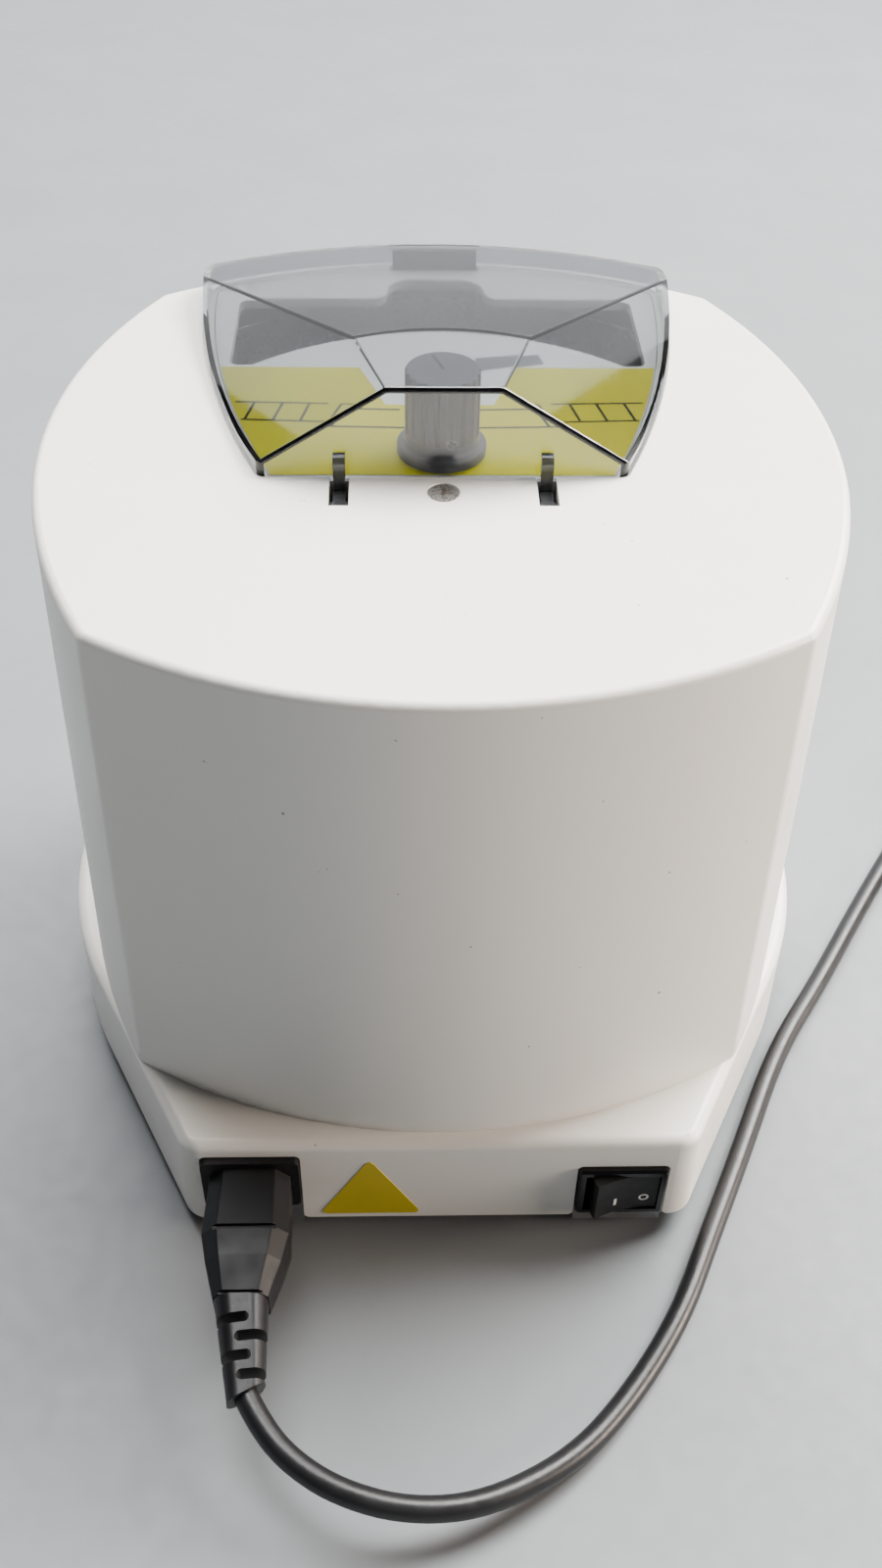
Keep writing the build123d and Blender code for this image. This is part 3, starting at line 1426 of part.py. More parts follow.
with BuildPart() as power_supply:
    with BuildSketch(Plane.XY.offset(board_z)):
        with Locations((0, supply_y)):
            Rectangle(2 * supply_half_x, 2 * supply_half_y)
    extrude(amount=board_thick)
    with BuildSketch(Plane.XY.offset(board_z + board_thick)):
        with Locations((block_x, supply_y)):
            Rectangle(block_long, block_wide)
        with Locations((can_x, supply_y)):
            with GridLocations(can_pitch, can_pitch, 2, 2):
                Circle(can_r)
    extrude(amount=block_high)
finish(power_supply, "power_supply")

# ---- power cord --------------------------------------------------------------------------
# The cord's centre line from the strain relief to the coil, as it lies on the bench.
cord_points = [
    (58.2, 203.0, 27.4), (54.9, 209.1, 26.5), (46.3, 219.5, 24.7), (31.7, 228.2, 21.9),
    (11.6, 232.4, 17.7), (-11.3, 229.2, 12.5), (-38.4, 214.7, 6.9), (-58.0, 194.6, 4.0),
    (-77.5, 168.0, 4.0), (-90.5, 141.0, 4.0), (-107.0, 108.0, 4.0), (-128.0, 63.5, 4.0),
    (-150.5, 31.5, 4.0), (-176.5, -9.5, 4.0), (-204.0, -50.0, 4.0), (-219.0, -72.5, 4.0),
]


def arc_radii(points):
    """For each corner of a route, the radius of the largest arc that its two runs allow."""
    radii = []
    for before, here, after in zip(points, points[1:], points[2:]):
        run_in = Vector(here) - Vector(before)
        run_out = Vector(after) - Vector(here)
        half_turn = radians(run_in.get_angle(run_out)) / 2
        radii.append(corner_share * min(run_in.length, run_out.length) / tan(half_turn))
    return radii


cord_radii = arc_radii(cord_points)
print("cord radii", [round(r, 1) for r in cord_radii])

with BuildPart() as power_cord:
    with BuildLine() as cord_path:
        FilletPolyline(*cord_points, radius=cord_radii)
    cord_line = cord_path.wire()
    with BuildSketch(Plane(origin=cord_line @ 0, z_dir=cord_line % 0)):
        Circle(cord_r)
    sweep(path=cord_line)
finish(power_cord, "power_cord")
cord_section = pi * cord_r**2
print("cord", cord_line.length, power_cord.part.volume / (cord_section * cord_line.length))

# The rest of the lead is put away in a coil of two layers, one above the other.
coil_start = Vector(cord_points[-1])
coil_heading = (coil_start - Vector(cord_points[-2])).normalized()
coil_plane = Plane(
    origin=coil_start, x_dir=(coil_heading.Y, -coil_heading.X, 0), z_dir=(0, 0, 1)
)
coil_end_run = 2 * cord_r

with BuildPart() as cord_coil:
    with BuildLine(coil_plane) as coil_path:
        Line((0, 0, 0), (0, coil_end_run, 0))
        turns = list(range(coil_half_turns + 1)) + list(range(coil_half_turns - 1, 0, -1)) + [-1]
        x, z, side = 0.0, 0.0, 1
        for number, turn in enumerate(turns):
            radius = coil_radius - turn * coil_pitch / 2
            rise = coil_step if number == coil_half_turns else 0.0
            ThreePointArc(
                (x, coil_end_run, z),
                (x + side * radius, coil_end_run + side * hypot(radius, rise / 2), z + rise / 2),
                (x + side * 2 * radius, coil_end_run, z + rise),
            )
            x = x + side * 2 * radius
            z = z + rise
            side = -side
        Line((x, coil_end_run, z), (x, 0, z))
    coil_line = coil_path.wire()
    with BuildSketch(Plane(origin=coil_line @ 0, z_dir=coil_line % 0)):
        Circle(cord_r)
    sweep(path=coil_line)
finish(cord_coil, "cord_coil")


def least_gap(path, diameter):
    """The least distance between two parts of a path that lie apart along it."""
    count = int(path.length / diameter)
    points = [path @ (i / count) for i in range(count + 1)]
    apart = 4
    return min(
        (points[i] - points[j]).length
        for i in range(count + 1)
        for j in range(i + apart, count + 1)
    ) - diameter


print(
    "coil", coil_line.length, cord_coil.part.volume / (cord_section * coil_line.length),
    "least gap", least_gap(coil_line, 2 * cord_r),
)


def tapered_block(ends, headings, sections):
    """A straight loft between two rounded sections, each square to its own heading."""
    with BuildPart() as block:
        for place, heading, (width, height) in zip(ends, headings, sections):
            across = Vector(0, 0, 1).cross(heading).normalized()
            with BuildSketch(Plane(origin=place, x_dir=across, z_dir=heading)):
                RectangleRounded(width, height, section_round * height)
        loft()
    return block.part


def relief_cuts(path_start, path_end, count, width):
    """Slots across a relief, from alternate sides, each a little past its middle."""
    start = Vector(path_start)
    direction = (Vector(path_end) - start).normalized()
    across = Vector(0, 0, 1).cross(direction).normalized()
    length = (Vector(path_end) - start).length
    with BuildPart() as cuts:
        for number in range(count):
            side = 1 if number % 2 else -1
            share = (number + relief_first) / (count + relief_spare)
            centre = start + direction * (length * share) + across * (side * width * relief_aside)
            with BuildSketch(Plane(origin=centre, x_dir=across, z_dir=(0, 0, 1))):
                SlotOverall(width, relief_slot_width)
            extrude(amount=width, both=True)
    return cuts.part


relief_end = Vector(cord_points[0])
cord_heading = (Vector(cord_points[1]) - relief_end).normalized()
connector_end_y = flange_front + connector_length
relief_start = Vector(inlet_x, connector_end_y, connector_axis_z)
rearward = Vector(0, 1, 0)

with BuildPart() as cord_connector:
    # the nose goes into the inlet's socket, with a slot for each blade
    with BuildSketch(facing_rear(inlet_x, flange_front - blade_length, inlet_z)):
        add(inlet_profile(socket_width - 2 * seat, socket_height - 2 * seat, socket_bevel))
    extrude(amount=blade_length + nose_root)
    # the grip: full width behind the flange, narrowing to the strain relief
    for share, width, height in connector_shape:
        grip_y = flange_front + share * connector_length
        with BuildSketch(facing_rear(inlet_x, grip_y, connector_axis_z)):
            add(
                inlet_profile(
                    connector_width * width, connector_height * height, connector_bevel * width
                )
            )
    loft(ruled=True)
    # grooves across its top
    for share, height in groove_shape:
        groove_y = flange_front + share * connector_length
        with Locations((inlet_x, groove_y, connector_axis_z + height * connector_height / 2)):
            Box(connector_width, groove_width, 2 * groove_depth, mode=Mode.SUBTRACT)
    with BuildSketch(facing_rear(inlet_x, flange_front - blade_length, inlet_z)):
        with Locations(*blade_places):
            Rectangle(blade_thick + 2 * seat, blade_width + 2 * seat)
    extrude(amount=blade_length + blade_room, mode=Mode.SUBTRACT)
finish(cord_connector, "cord_connector")

with BuildPart() as cord_relief:
    add(
        tapered_block(
            (relief_start, relief_end), (rearward, cord_heading),
            ((relief_width, relief_height), (relief_end_width, relief_end_height)),
        )
    )
    add(relief_cuts(relief_start, relief_end, relief_slots, relief_width), mode=Mode.SUBTRACT)
finish(cord_relief, "cord_relief")

# ---- mains plug beside the coil ----------------------------------------------------------
plug_heading = coil_heading * -1
plug_start = coil_line @ 1
plug_neck = plug_start + plug_heading * plug_relief
plug_face = plug_neck + plug_heading * plug_length


def plug_plane(place):
    """A plane square to the plug's axis, its sketch upright."""
    across = Vector(0, 0, 1).cross(plug_heading)
    return Plane(origin=place, x_dir=across, z_dir=plug_heading)


with BuildPart() as plug_strain_relief:
    add(
        tapered_block(
            (plug_start, plug_neck), (plug_heading, plug_heading),
            ((relief_end_width, relief_end_height), (relief_width, relief_height)),
        )
    )
    add(relief_cuts(plug_neck, plug_start, relief_slots, relief_width), mode=Mode.SUBTRACT)
finish(plug_strain_relief, "plug_strain_relief")

with BuildPart() as mains_plug:
    for share, width, height in plug_shape:
        with BuildSketch(plug_plane(plug_neck + plug_heading * (plug_length * share))):
            RectangleRounded(
                plug_width * width, plug_height * height, plug_round * plug_height * height
            )
    loft(ruled=True)
    with BuildSketch(plug_plane(plug_face)):
        with Locations((-plug_blade_x, plug_blade_rise), (plug_blade_x, plug_blade_rise)):
            Rectangle(plug_blade_thick, plug_blade_width)
        with Locations((0, -plug_earth_drop)):
            Circle(plug_earth_r)
    extrude(amount=-plug_blade_length / 2, mode=Mode.SUBTRACT)
finish(mains_plug, "mains_plug")

with BuildPart() as plug_blades:
    with BuildSketch(plug_plane(plug_face - plug_heading * (plug_blade_length / 2))):
        with Locations((-plug_blade_x, plug_blade_rise), (plug_blade_x, plug_blade_rise)):
            Rectangle(plug_blade_thick, plug_blade_width)
        with Locations((0, -plug_earth_drop)):
            Circle(plug_earth_r)
    extrude(amount=plug_blade_length / 2 + plug_blade_length)
finish(plug_blades, "plug_blades")
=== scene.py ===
import json
import math

import bpy
from mathutils import Matrix, Vector


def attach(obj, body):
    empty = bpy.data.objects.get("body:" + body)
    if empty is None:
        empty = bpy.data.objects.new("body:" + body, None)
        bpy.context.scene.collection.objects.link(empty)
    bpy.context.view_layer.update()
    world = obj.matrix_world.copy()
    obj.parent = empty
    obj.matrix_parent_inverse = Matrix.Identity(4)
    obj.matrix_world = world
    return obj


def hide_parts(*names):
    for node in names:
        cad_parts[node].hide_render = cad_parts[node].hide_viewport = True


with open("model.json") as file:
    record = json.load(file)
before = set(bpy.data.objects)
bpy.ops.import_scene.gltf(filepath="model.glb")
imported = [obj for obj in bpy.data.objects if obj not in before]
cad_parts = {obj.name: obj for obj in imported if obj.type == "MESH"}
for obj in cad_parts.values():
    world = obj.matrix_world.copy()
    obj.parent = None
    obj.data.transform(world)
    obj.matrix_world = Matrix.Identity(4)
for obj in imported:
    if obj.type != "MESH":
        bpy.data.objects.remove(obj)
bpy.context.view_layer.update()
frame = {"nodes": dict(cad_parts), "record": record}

MM = 0.001
ROTOR_Y = 5.0

# ---- camera, as the photograph was taken ---------------------------------------------------
CAMERA_PLACE = (0.012151, 0.396076, 0.451777)
CAMERA_RIGHT = (-0.99964388, 0.02135002, 0.01600926)
CAMERA_UP = (-0.00285075, -0.68192663, 0.73141503)
CAMERA_FORWARD = (-0.02653286, -0.73110892, -0.68174464)
PHOTO_LONG_SIDE = 1600.0
FOCAL_PIXELS = 1498.69
SENSOR = 36.0

camera = bpy.data.objects.new("camera", bpy.data.cameras.new("camera"))
bpy.context.collection.objects.link(camera)
camera.data.sensor_width = SENSOR
camera.data.lens = FOCAL_PIXELS / PHOTO_LONG_SIDE * SENSOR
turn = Matrix((CAMERA_RIGHT, CAMERA_UP, -Vector(CAMERA_FORWARD))).transposed()
camera.matrix_world = Matrix.Translation(CAMERA_PLACE) @ turn.to_4x4()
camera.data.clip_start = 0.01
bpy.context.scene.camera = camera


# ---- power cord ----------------------------------------------------------------------------
CORD_R = 3.75 * MM
CORD_ROUTE = [
    (58.2, 203.0, 27.4), (54.9, 209.1, 26.5), (46.3, 219.5, 24.7), (31.7, 228.2, 21.9),
    (11.6, 232.4, 17.7), (-11.3, 229.2, 12.5), (-38.4, 214.7, 6.9), (-58.0, 194.6, 4.0),
    (-77.5, 168.0, 4.0), (-90.5, 141.0, 4.0), (-107.0, 108.0, 4.0), (-128.0, 63.5, 4.0),
    (-150.5, 31.5, 4.0), (-176.5, -9.5, 4.0), (-204.0, -50.0, 4.0), (-219.0, -72.5, 4.0),
]
COIL_RADIUS = 49.5
COIL_PITCH = 8.5
COIL_STEP = 8.0
COIL_RUN = 7.5
COIL_TURNS = (0, 1, 2, 3, 4, 3, 2, 1, -1)    # rows inward of each half turn
COIL_CLIMB = 4                               # the half turn that climbs to the upper layer
ARC_STEP = 30
CORD_STEPS = 6                               # how finely the cord is divided along and round it


def coil_points():
    """Control points of the put-away coil: half turns to alternate sides of its start."""
    start = Vector(CORD_ROUTE[-1])
    ahead = (start - Vector(CORD_ROUTE[-2])).normalized()
    aside = Vector((ahead.y, -ahead.x, 0))
    points = []
    x, z, side = 0.0, 0.0, 1
    for number, row in enumerate(COIL_TURNS):
        radius = COIL_RADIUS - row * COIL_PITCH / 2
        outer = radius / math.cos(math.radians(ARC_STEP / 2))
        rise = COIL_STEP if number == COIL_CLIMB else 0.0
        for angle in range(ARC_STEP // 2, 180, ARC_STEP):
            along = side * outer * math.sin(math.radians(angle))
            across = x + side * (radius - outer * math.cos(math.radians(angle)))
            points.append(
                start + aside * across + ahead * (COIL_RUN + along)
                + Vector((0, 0, z + rise * angle / 180))
            )
        x += side * 2 * radius
        z += rise
        side = -side
    points.append(start + aside * x + Vector((0, 0, z)))
    return points


def cord_curve(name, points, radius):
    """A smooth round cord through the middle of its control points' runs. The points are in
    millimetres; each holds the cord's radius in metres, so that the bevel's own depth is 1."""
    curve = bpy.data.curves.new(name, "CURVE")
    curve.dimensions = "3D"
    spline = curve.splines.new("NURBS")
    spline.points.add(len(points) - 1)
    for point, place in zip(spline.points, points):
        point.co = (*(Vector(place) * MM), 1.0)
        point.radius = radius
    spline.order_u = 3
    spline.use_endpoint_u = True
    curve.resolution_u = CORD_STEPS
    curve.bevel_depth = 1.0
    curve.bevel_resolution = CORD_STEPS
    curve.use_fill_caps = True
    obj = bpy.data.objects.new(name, curve)
    bpy.context.collection.objects.link(obj)
    return obj


cord = cord_curve("mains_cord", CORD_ROUTE + coil_points(), CORD_R)
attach(cord, "housing")
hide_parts("power_cord", "cord_coil")


# ---- materials -----------------------------------------------------------------------------
def noise(tree, place, scale, detail=4.0, rough=0.5):
    """Fractal noise over a piece's own coordinates."""
    made = tree.nodes.new("ShaderNodeTexNoise")
    made.inputs["Scale"].default_value = scale
    made.inputs["Detail"].default_value = detail
    made.inputs["Roughness"].default_value = rough
    tree.links.new(place, made.inputs["Vector"])
    return made.outputs["Fac"]


def spread(tree, value, low, high, start=0.3, end=0.7):
    """Maps a noise value from start..end to low..high."""
    made = tree.nodes.new("ShaderNodeMapRange")
    made.inputs["From Min"].default_value = start
    made.inputs["From Max"].default_value = end
    made.inputs["To Min"].default_value = low
    made.inputs["To Max"].default_value = high
    tree.links.new(value, made.inputs["Value"])
    return made.outputs["Result"]


def blend(tree, factor, first, second):
    """Mixes two colours, either of which may be a socket."""
    made = tree.nodes.new("ShaderNodeMix")
    made.data_type = "RGBA"
    tree.links.new(factor, made.inputs["Factor"])
    for name, colour in (("A", first), ("B", second)):
        socket = [s for s in made.inputs if s.name == name and s.type == "RGBA"][0]
        if isinstance(colour, bpy.types.NodeSocket):
            tree.links.new(colour, socket)
        else:
            socket.default_value = (*colour, 1.0)
    return [s for s in made.outputs if s.type == "RGBA"][0]


def maths(tree, operation, first, second):
    """One arithmetic step on sockets or numbers."""
    made = tree.nodes.new("ShaderNodeMath")
    made.operation = operation
    for socket, value in zip(made.inputs, (first, second)):
        if isinstance(value, bpy.types.NodeSocket):
            tree.links.new(value, socket)
        else:
            socket.default_value = value
    return made.outputs[0]


SPECK_SCALE = 260.0
SPECK_EDGE = (0.765, 0.785)                  # noise values between which a speck fades in
SPECK_COLOUR = (0.16, 0.13, 0.10)
WEAR_FINER = 9                               # how much finer wear is than the tone's patches
RING_WOBBLE = 0.6
RING_DETAIL = 3.0
GRAIN_IN_RINGS = 0.4                         # share of the grain that stays among turned rings


def surface(
    name, colour, tint, rough, metallic=0.0, grain=(1500.0, 0.00002), patch=14.0,
    stretch=(1.0, 1.0, 1.0), rings=None, specks=0.0, **sockets,
):
    """A moulded, painted or metal surface: tone drifts in patches, roughness varies, and fine
    grain or machining marks stand in the bump. rings is the axis place of a turned surface, and
    specks the strength of its few dark specks of dirt."""
    material = bpy.data.materials.new(name)
    material.use_nodes = True
    tree = material.node_tree
    shader = tree.nodes["Principled BSDF"]
    shader.inputs["Metallic"].default_value = metallic
    for key, value in sockets.items():
        shader.inputs[key.replace("_", " ")].default_value = value
    place = tree.nodes.new("ShaderNodeTexCoord").outputs["Object"]
    mapping = tree.nodes.new("ShaderNodeMapping")
    mapping.inputs["Scale"].default_value = stretch
    tree.links.new(place, mapping.inputs["Vector"])
    stretched = mapping.outputs["Vector"]
    drift = spread(tree, noise(tree, place, patch, 6.0), 0.0, 1.0)
    base = blend(tree, drift, colour, tint)
    if specks:
        dots = spread(tree, noise(tree, place, SPECK_SCALE, 2.0), 0.0, specks, *SPECK_EDGE)
        base = blend(tree, dots, base, SPECK_COLOUR)
    tree.links.new(base, shader.inputs["Base Color"])
    wear = noise(tree, stretched, WEAR_FINER * patch, 5.0, 0.6)
    tree.links.new(spread(tree, wear, rough[0], rough[1]), shader.inputs["Roughness"])
    fine = noise(tree, stretched, grain[0], 2.0)
    if rings is not None:
        shift = tree.nodes.new("ShaderNodeMapping")
        shift.inputs["Location"].default_value = tuple(-c for c in rings)
        tree.links.new(place, shift.inputs["Vector"])
        wave = tree.nodes.new("ShaderNodeTexWave")
        wave.wave_type = "RINGS"
        wave.rings_direction = "Z"
        wave.inputs["Scale"].default_value = grain[0]
        wave.inputs["Distortion"].default_value = RING_WOBBLE
        wave.inputs["Detail"].default_value = RING_DETAIL
        tree.links.new(shift.outputs["Vector"], wave.inputs["Vector"])
        faint = maths(tree, "MULTIPLY", fine, GRAIN_IN_RINGS)
        fine = maths(tree, "ADD", faint, wave.outputs["Fac"])
    bump = tree.nodes.new("ShaderNodeBump")
    bump.inputs["Distance"].default_value = grain[1]
    bump.inputs["Strength"].default_value = 1.0
    tree.links.new(fine, bump.inputs["Height"])
    tree.links.new(bump.outputs["Normal"], shader.inputs["Normal"])
    return material


ROTOR_AXIS = (0.0, ROTOR_Y * MM, 0.0)

materials = {
    "white_shell": surface(
        "white_shell", (0.80, 0.775, 0.725), (0.77, 0.745, 0.695), (0.30, 0.40),
        grain=(1400.0, 0.000012), patch=9.0, specks=0.8,
    ),
    "deck_white": surface(
        "deck_white", (0.74, 0.745, 0.73), (0.69, 0.70, 0.69), (0.32, 0.42),
        grain=(1800.0, 0.000008),
    ),
    "yellow_film": surface(
        "yellow_film", (0.60, 0.55, 0.002), (0.55, 0.50, 0.001), (0.35, 0.45),
        grain=(900.0, 0.000008), Specular_IOR_Level=0.1,
    ),
    "black_plastic": surface(
        "black_plastic", (0.006, 0.006, 0.007), (0.010, 0.010, 0.011), (0.38, 0.52),
        grain=(2600.0, 0.00002), Specular_IOR_Level=0.2,
    ),
    "black_gloss": surface(
        "black_gloss", (0.004, 0.004, 0.005), (0.007, 0.007, 0.008), (0.16, 0.26),
        grain=(1200.0, 0.000006), Specular_IOR_Level=0.35,
    ),
    "dark_knob": surface(
        "dark_knob", (0.11, 0.11, 0.12), (0.095, 0.095, 0.105), (0.30, 0.42),
        grain=(2200.0, 0.00001), Specular_IOR_Level=0.25,
    ),
    "cord_jacket": surface(
        "cord_jacket", (0.007, 0.007, 0.008), (0.011, 0.011, 0.012), (0.28, 0.40),
        grain=(700.0, 0.00003), patch=30.0, Specular_IOR_Level=0.35,
    ),
    "foot_rubber": surface(
        "foot_rubber", (0.02, 0.02, 0.02), (0.035, 0.035, 0.034), (0.65, 0.85),
        grain=(900.0, 0.00006),
    ),
    "pan_steel": surface(
        "pan_steel", (0.42, 0.43, 0.44), (0.34, 0.35, 0.36), (0.34, 0.52), 0.9,
        grain=(420.0, 0.00002), patch=30.0, stretch=(1.0, 9.0, 1.0),
    ),
    "bright_screw": surface(
        "bright_screw", (0.80, 0.76, 0.71), (0.62, 0.58, 0.53), (0.22, 0.40), 1.0,
        grain=(1500.0, 0.000004), patch=160.0,
    ),
    "zinc_screw": surface(
        "zinc_screw", (0.60, 0.60, 0.57), (0.50, 0.50, 0.46), (0.26, 0.42), 1.0,
        grain=(1300.0, 0.00002), patch=120.0,
    ),
    "bowl_steel": surface(
        "bowl_steel", (0.60, 0.61, 0.62), (0.54, 0.55, 0.56), (0.22, 0.36), 1.0,
        grain=(260.0, 0.00002), rings=ROTOR_AXIS,
    ),
    "rotor_aluminium": surface(
        "rotor_aluminium", (0.62, 0.63, 0.65), (0.56, 0.57, 0.59), (0.26, 0.38), 1.0,
        grain=(420.0, 0.00002), rings=ROTOR_AXIS,
    ),
    "carrier_sheet": surface(
        "carrier_sheet", (0.55, 0.57, 0.60), (0.49, 0.51, 0.54), (0.30, 0.44), 1.0,
        grain=(500.0, 0.000015), stretch=(1.0, 1.0, 12.0),
    ),
    "shaft_steel": surface(
        "shaft_steel", (0.55, 0.56, 0.57), (0.47, 0.48, 0.49), (0.18, 0.30), 1.0,
        grain=(900.0, 0.00001), stretch=(1.0, 1.0, 14.0),
    ),
    "motor_steel": surface(
        "motor_steel", (0.06, 0.065, 0.075), (0.09, 0.095, 0.10), (0.36, 0.55), 0.2,
        grain=(900.0, 0.00004),
    ),
    "motor_cap_cast": surface(
        "motor_cap_cast", (0.45, 0.45, 0.45), (0.37, 0.37, 0.37), (0.45, 0.62), 1.0,
        grain=(700.0, 0.00008),
    ),
    "mount_rubber": surface(
        "mount_rubber", (0.03, 0.026, 0.024), (0.05, 0.045, 0.04), (0.6, 0.8),
        grain=(800.0, 0.00006),
    ),
    "contact_metal": surface(
        "contact_metal", (0.66, 0.62, 0.52), (0.56, 0.50, 0.38), (0.20, 0.34), 1.0,
        grain=(1600.0, 0.00001), patch=120.0,
    ),
    "board_green": surface(
        "board_green", (0.018, 0.11, 0.05), (0.03, 0.15, 0.07), (0.28, 0.42),
        grain=(600.0, 0.00003), patch=90.0,
    ),
    "sticker": surface(
        "sticker", (0.56, 0.44, 0.008), (0.50, 0.39, 0.006), (0.30, 0.42),
        grain=(1500.0, 0.000008), patch=60.0,
    ),
    "button_green": surface(
        "button_green", (0.008, 0.14, 0.035), (0.012, 0.17, 0.045), (0.20, 0.30),
        grain=(1400.0, 0.00001),
    ),
    "lamp_red": surface(
        "lamp_red", (0.42, 0.004, 0.003), (0.50, 0.008, 0.005), (0.10, 0.18),
        grain=(900.0, 0.00002), Transmission_Weight=0.5,
    ),
    "sensor_grey": surface(
        "sensor_grey", (0.09, 0.09, 0.10), (0.12, 0.12, 0.13), (0.45, 0.6),
        grain=(1800.0, 0.00003),
    ),
    "bracket_alloy": surface(
        "bracket_alloy", (0.40, 0.41, 0.42), (0.33, 0.34, 0.35), (0.42, 0.6), 1.0,
        grain=(800.0, 0.00006),
    ),
    "ink": surface(
        "ink", (0.012, 0.012, 0.012), (0.02, 0.02, 0.018), (0.4, 0.5), grain=(1800.0, 0.000006),
        Specular_IOR_Level=0.1,
    ),
    "white_ink": surface(
        "white_ink", (0.70, 0.70, 0.68), (0.60, 0.60, 0.58), (0.4, 0.5), grain=(1800.0, 0.000006),
    ),
}


ARM_FROM_Y = 23.4 * MM                       # the lid's rear wall ends and its arms begin
ARM_COLOUR = (0.05, 0.052, 0.055)
ARM_CLEAR = 0.15


def smoked_plastic():
    """Grey see-through plastic; its thick hinge arms behind the rear wall look nearly black."""
    material = surface(
        "smoked_lid", (0.60, 0.62, 0.64), (0.56, 0.58, 0.60), (0.02, 0.05),
        grain=(300.0, 0.000002), Transmission_Weight=1.0, IOR=1.49, Specular_IOR_Level=0.5,
    )
    tree = material.node_tree
    shader = tree.nodes["Principled BSDF"]
    place = tree.nodes.new("ShaderNodeTexCoord").outputs["Object"]
    parts = tree.nodes.new("ShaderNodeSeparateXYZ")
    tree.links.new(place, parts.inputs["Vector"])
    arms = maths(tree, "GREATER_THAN", parts.outputs["Y"], ARM_FROM_Y)
    clear = shader.inputs["Base Color"].links[0].from_socket
    tree.links.new(blend(tree, arms, clear, ARM_COLOUR), shader.inputs["Base Color"])
    through = spread(tree, arms, 1.0, ARM_CLEAR, 0.0, 1.0)
    tree.links.new(through, shader.inputs["Transmission Weight"])
    return material


materials["smoked_lid"] = smoked_plastic()

slots = {entry["node"]: entry["material_slot"] for entry in frame["record"]["subparts"]}
for name, obj in frame["nodes"].items():
    for place in obj.material_slots:
        place.material = materials[slots[name]]
cord.data.materials.append(materials["cord_jacket"])


# ---- printed lines on the deck's film, the knob's pointer and the switch's marks -------------
def flat_piece(name, body, slot, outlines, thickness):
    """A thin raised print, in millimetres: closed outlines, each lifted by the thickness along
    its normal."""
    verts, faces = [], []
    for outline, normal in outlines:
        count = len(outline)
        low = [Vector(p) * MM for p in outline]
        high = [p + Vector(normal) * (thickness * MM) for p in low]
        first = len(verts)
        verts += low + high
        faces.append(list(range(first + count - 1, first - 1, -1)))
        faces.append(list(range(first + count, first + 2 * count)))
        for i in range(count):
            j = (i + 1) % count
            faces.append([first + i, first + j, first + count + j, first + count + i])
    mesh = bpy.data.meshes.new(name)
    mesh.from_pydata([tuple(v) for v in verts], [], faces)
    mesh.validate()
    obj = bpy.data.objects.new(name, mesh)
    bpy.context.collection.objects.link(obj)
    mesh.materials.append(materials[slot])
    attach(obj, body)


UP = (0, 0, 1)
INK_THICK = 0.03
FILM_Z = 224.55
LINE_WIDTH = 0.9
RULED_LINES = [                              # start and end of each line on the film's +X half
    ((12.5, -19.8), (30.0, -20.4)), ((34.0, -20.7), (63.0, -21.5)),
    ((0.0, -8.3), (34.0, -9.4)), ((34.0, -9.4), (60.5, -10.6)), ((30.0, -20.4), (33.5, -9.5)),
]
RUNG_XS = (39.8, 48.2, 57.0)                 # slanting rungs between the long lines
RUNG_YS = (-21.1, -10.3)
RUNG_SLANT = 2.4
RULED_LINES += [((x, RUNG_YS[0]), (x + RUNG_SLANT, RUNG_YS[1])) for x in RUNG_XS]


def line(start, end, width, z):
    """The outline of one ruled line on a level face, and its normal."""
    a, b = Vector((*start, z)), Vector((*end, z))
    aside = Vector(UP).cross((b - a).normalized()) * (width / 2)
    return [a - aside, b - aside, b + aside, a + aside], UP


film_lines = [
    line((side * x0, y0), (side * x1, y1), LINE_WIDTH, FILM_Z)
    for side in (-1, 1) for (x0, y0), (x1, y1) in RULED_LINES
]
flat_piece("film_rules", "housing", "ink", film_lines, INK_THICK)

DECK_Z = 224.4
DECK_PATCH = [(-12.1, -50.5), (-32.3, -54.0), (-33.9, -47.4), (-12.7, -41.5)]
patch_loop = [(x, y, DECK_Z) for x, y in DECK_PATCH]
flat_piece("deck_patch", "housing", "sensor_grey", [(patch_loop, UP)], INK_THICK)

KNOB_TOP = 249.3
POINTER_TURN = math.radians(-71.0)
POINTER_WIDTH = 1.1
POINTER_BACK = 0.5                           # how far it reaches past the axis
POINTER_REACH = 9.0
heading = Vector((math.cos(POINTER_TURN), math.sin(POINTER_TURN)))
axis = Vector((0, ROTOR_Y))
pointer = line(
    axis - heading * POINTER_BACK, axis + heading * POINTER_REACH, POINTER_WIDTH, KNOB_TOP
)
flat_piece("knob_pointer", "rotor", "ink", [pointer], INK_THICK)

# The two marks of the power switch stand on the rocker's hollow face, turned as it is at rest.
ROCKER_PIVOT = Vector((-59.9, 129.4, 20.6))
ROCKER_TURN = math.radians(12.0)
ROCKER_HOLLOW = 40.83                       # radius of the hollow face
ROCKER_FACE = 6.3                           # from the pivot to its middle
MARK_THICK = 0.05
BAR_AT = 3.5                                # across the face from its middle
BAR_HALF = (0.45, 1.8)                      # half its width and half its height
HOOP_AT = -6.3
HOOP_RADII = (1.7, 1.1)                     # outer and inner


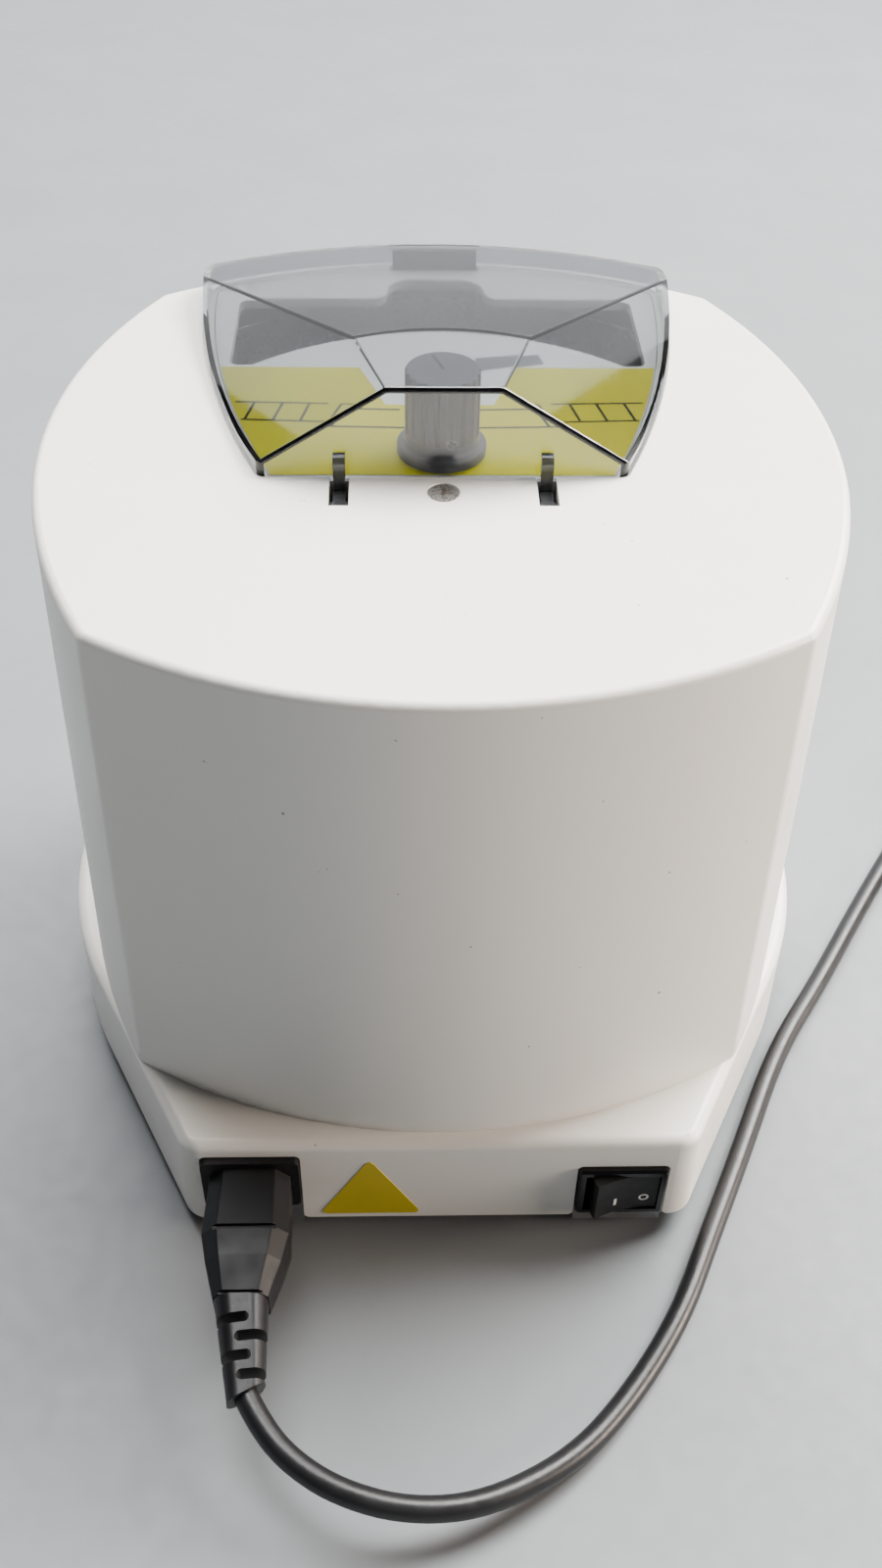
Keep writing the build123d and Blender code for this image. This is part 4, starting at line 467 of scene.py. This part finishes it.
def rocker_loop(centre, outline):
    """An outline of (across, up) points about a place on the rocker's face, and its normal."""
    lean = math.asin(centre / ROCKER_HOLLOW)
    depth = ROCKER_FACE + ROCKER_HOLLOW * (1 - math.cos(lean)) + MARK_THICK
    facing = ROCKER_TURN + lean
    across = Vector((math.cos(facing), math.sin(facing), 0))
    normal = Vector((-math.sin(facing), math.cos(facing), 0))
    ahead = Vector((math.cos(ROCKER_TURN), math.sin(ROCKER_TURN), 0))
    out = Vector((-math.sin(ROCKER_TURN), math.cos(ROCKER_TURN), 0))
    place = ROCKER_PIVOT + ahead * centre + out * depth
    return [place + across * a + Vector((0, 0, b)) for a, b in outline], normal


def ring(radius, steps=32):
    """Points round a circle, anticlockwise, the first one repeated at the end."""
    turns = [2 * math.pi * i / steps for i in range(steps + 1)]
    return [(radius * math.cos(t), radius * math.sin(t)) for t in turns]


wide, high = BAR_HALF
bar = [(wide, -high), (-wide, -high), (-wide, high), (wide, high)]
outer_ring, inner_ring = (ring(radius) for radius in HOOP_RADII)
hoop = [(-x, y) for x, y in outer_ring] + [(-x, y) for x, y in reversed(inner_ring)]
flat_piece(
    "switch_marks", "rocker", "white_ink",
    [rocker_loop(BAR_AT, bar), rocker_loop(HOOP_AT, hoop)], MARK_THICK,
)

# ---- floor and light -----------------------------------------------------------------------
FLOOR_REACH = 30                             # metres from the object to the floor's edges
floor_corners = [
    (x * FLOOR_REACH, y * FLOOR_REACH, 0) for x, y in ((-1, -1), (1, -1), (1, 1), (-1, 1))
]
floor_mesh = bpy.data.meshes.new("floor")
floor_mesh.from_pydata(floor_corners, [], [(0, 1, 2, 3)])
floor = bpy.data.objects.new("floor", floor_mesh)
bpy.context.collection.objects.link(floor)
floor_mesh.materials.append(surface(
    "floor", (0.17, 0.18, 0.19), (0.155, 0.165, 0.175), (0.55, 0.65), grain=(300.0, 0.00002),
))


def area_light(name, place, target, size, power, colour):
    """A soft light, size across and high, that faces target."""
    lamp = bpy.data.lights.new(name, "AREA")
    lamp.shape = "RECTANGLE"
    lamp.size, lamp.size_y = size
    lamp.energy = power
    lamp.color = colour
    obj = bpy.data.objects.new(name, lamp)
    bpy.context.collection.objects.link(obj)
    obj.location = place
    obj.rotation_euler = (Vector(target) - Vector(place)).to_track_quat("-Z", "Y").to_euler()
    obj.visible_camera = False


CENTRE = (0.0, 0.0, 0.13)
COOL = (0.96, 0.98, 1.0)
AREA_LIGHTS = [                              # place, size across and high, power and colour
    ("key", (-1.2, -0.8, 1.5), (1.0, 1.0), 165.0, (1.0, 0.985, 0.95)),
    ("far", (0.0, -2.2, 1.3), (3.8, 1.5), 24.0, COOL),
    ("front", (0.0, -2.7, 0.4), (3.6, 1.5), 11.0, COOL),
    ("side", (-1.8, 0.35, 0.55), (0.7, 0.7), 60.0, (1.0, 0.84, 0.71)),
]
for name, place, size, power, colour in AREA_LIGHTS:
    area_light(name, place, CENTRE, size, power, colour)

OVERHEAD_POWER = 8.5
OVERHEAD_SPREAD = math.radians(40.0)
OVERHEAD_LEAN = math.radians(26.0)           # it comes from the front, so the rear stays in shade
overhead = bpy.data.lights.new("overhead", "SUN")
overhead.energy = OVERHEAD_POWER
overhead.angle = OVERHEAD_SPREAD
overhead_lamp = bpy.data.objects.new("overhead", overhead)
bpy.context.collection.objects.link(overhead_lamp)
overhead_lamp.rotation_euler = (OVERHEAD_LEAN, 0.0, 0.0)

# The room is pale at the height of the bench and dim above it.
ROOM_COLOUR = (0.9, 0.93, 0.96, 1.0)
ROOM_LOW, ROOM_HIGH = 0.30, 0.05             # strength at the bench and above it
ROOM_FADE = 0.35                             # rise of a direction, of 1 straight up, when dim
world = bpy.data.worlds.new("studio")
bpy.context.scene.world = world
world.use_nodes = True
sky = world.node_tree
heights = sky.nodes.new("ShaderNodeSeparateXYZ")
sky.links.new(sky.nodes.new("ShaderNodeTexCoord").outputs["Generated"], heights.inputs["Vector"])
background = sky.nodes["Background"]
background.inputs["Color"].default_value = ROOM_COLOUR
strength = spread(sky, heights.outputs["Z"], ROOM_LOW, ROOM_HIGH, 0.0, ROOM_FADE)
sky.links.new(strength, background.inputs["Strength"])
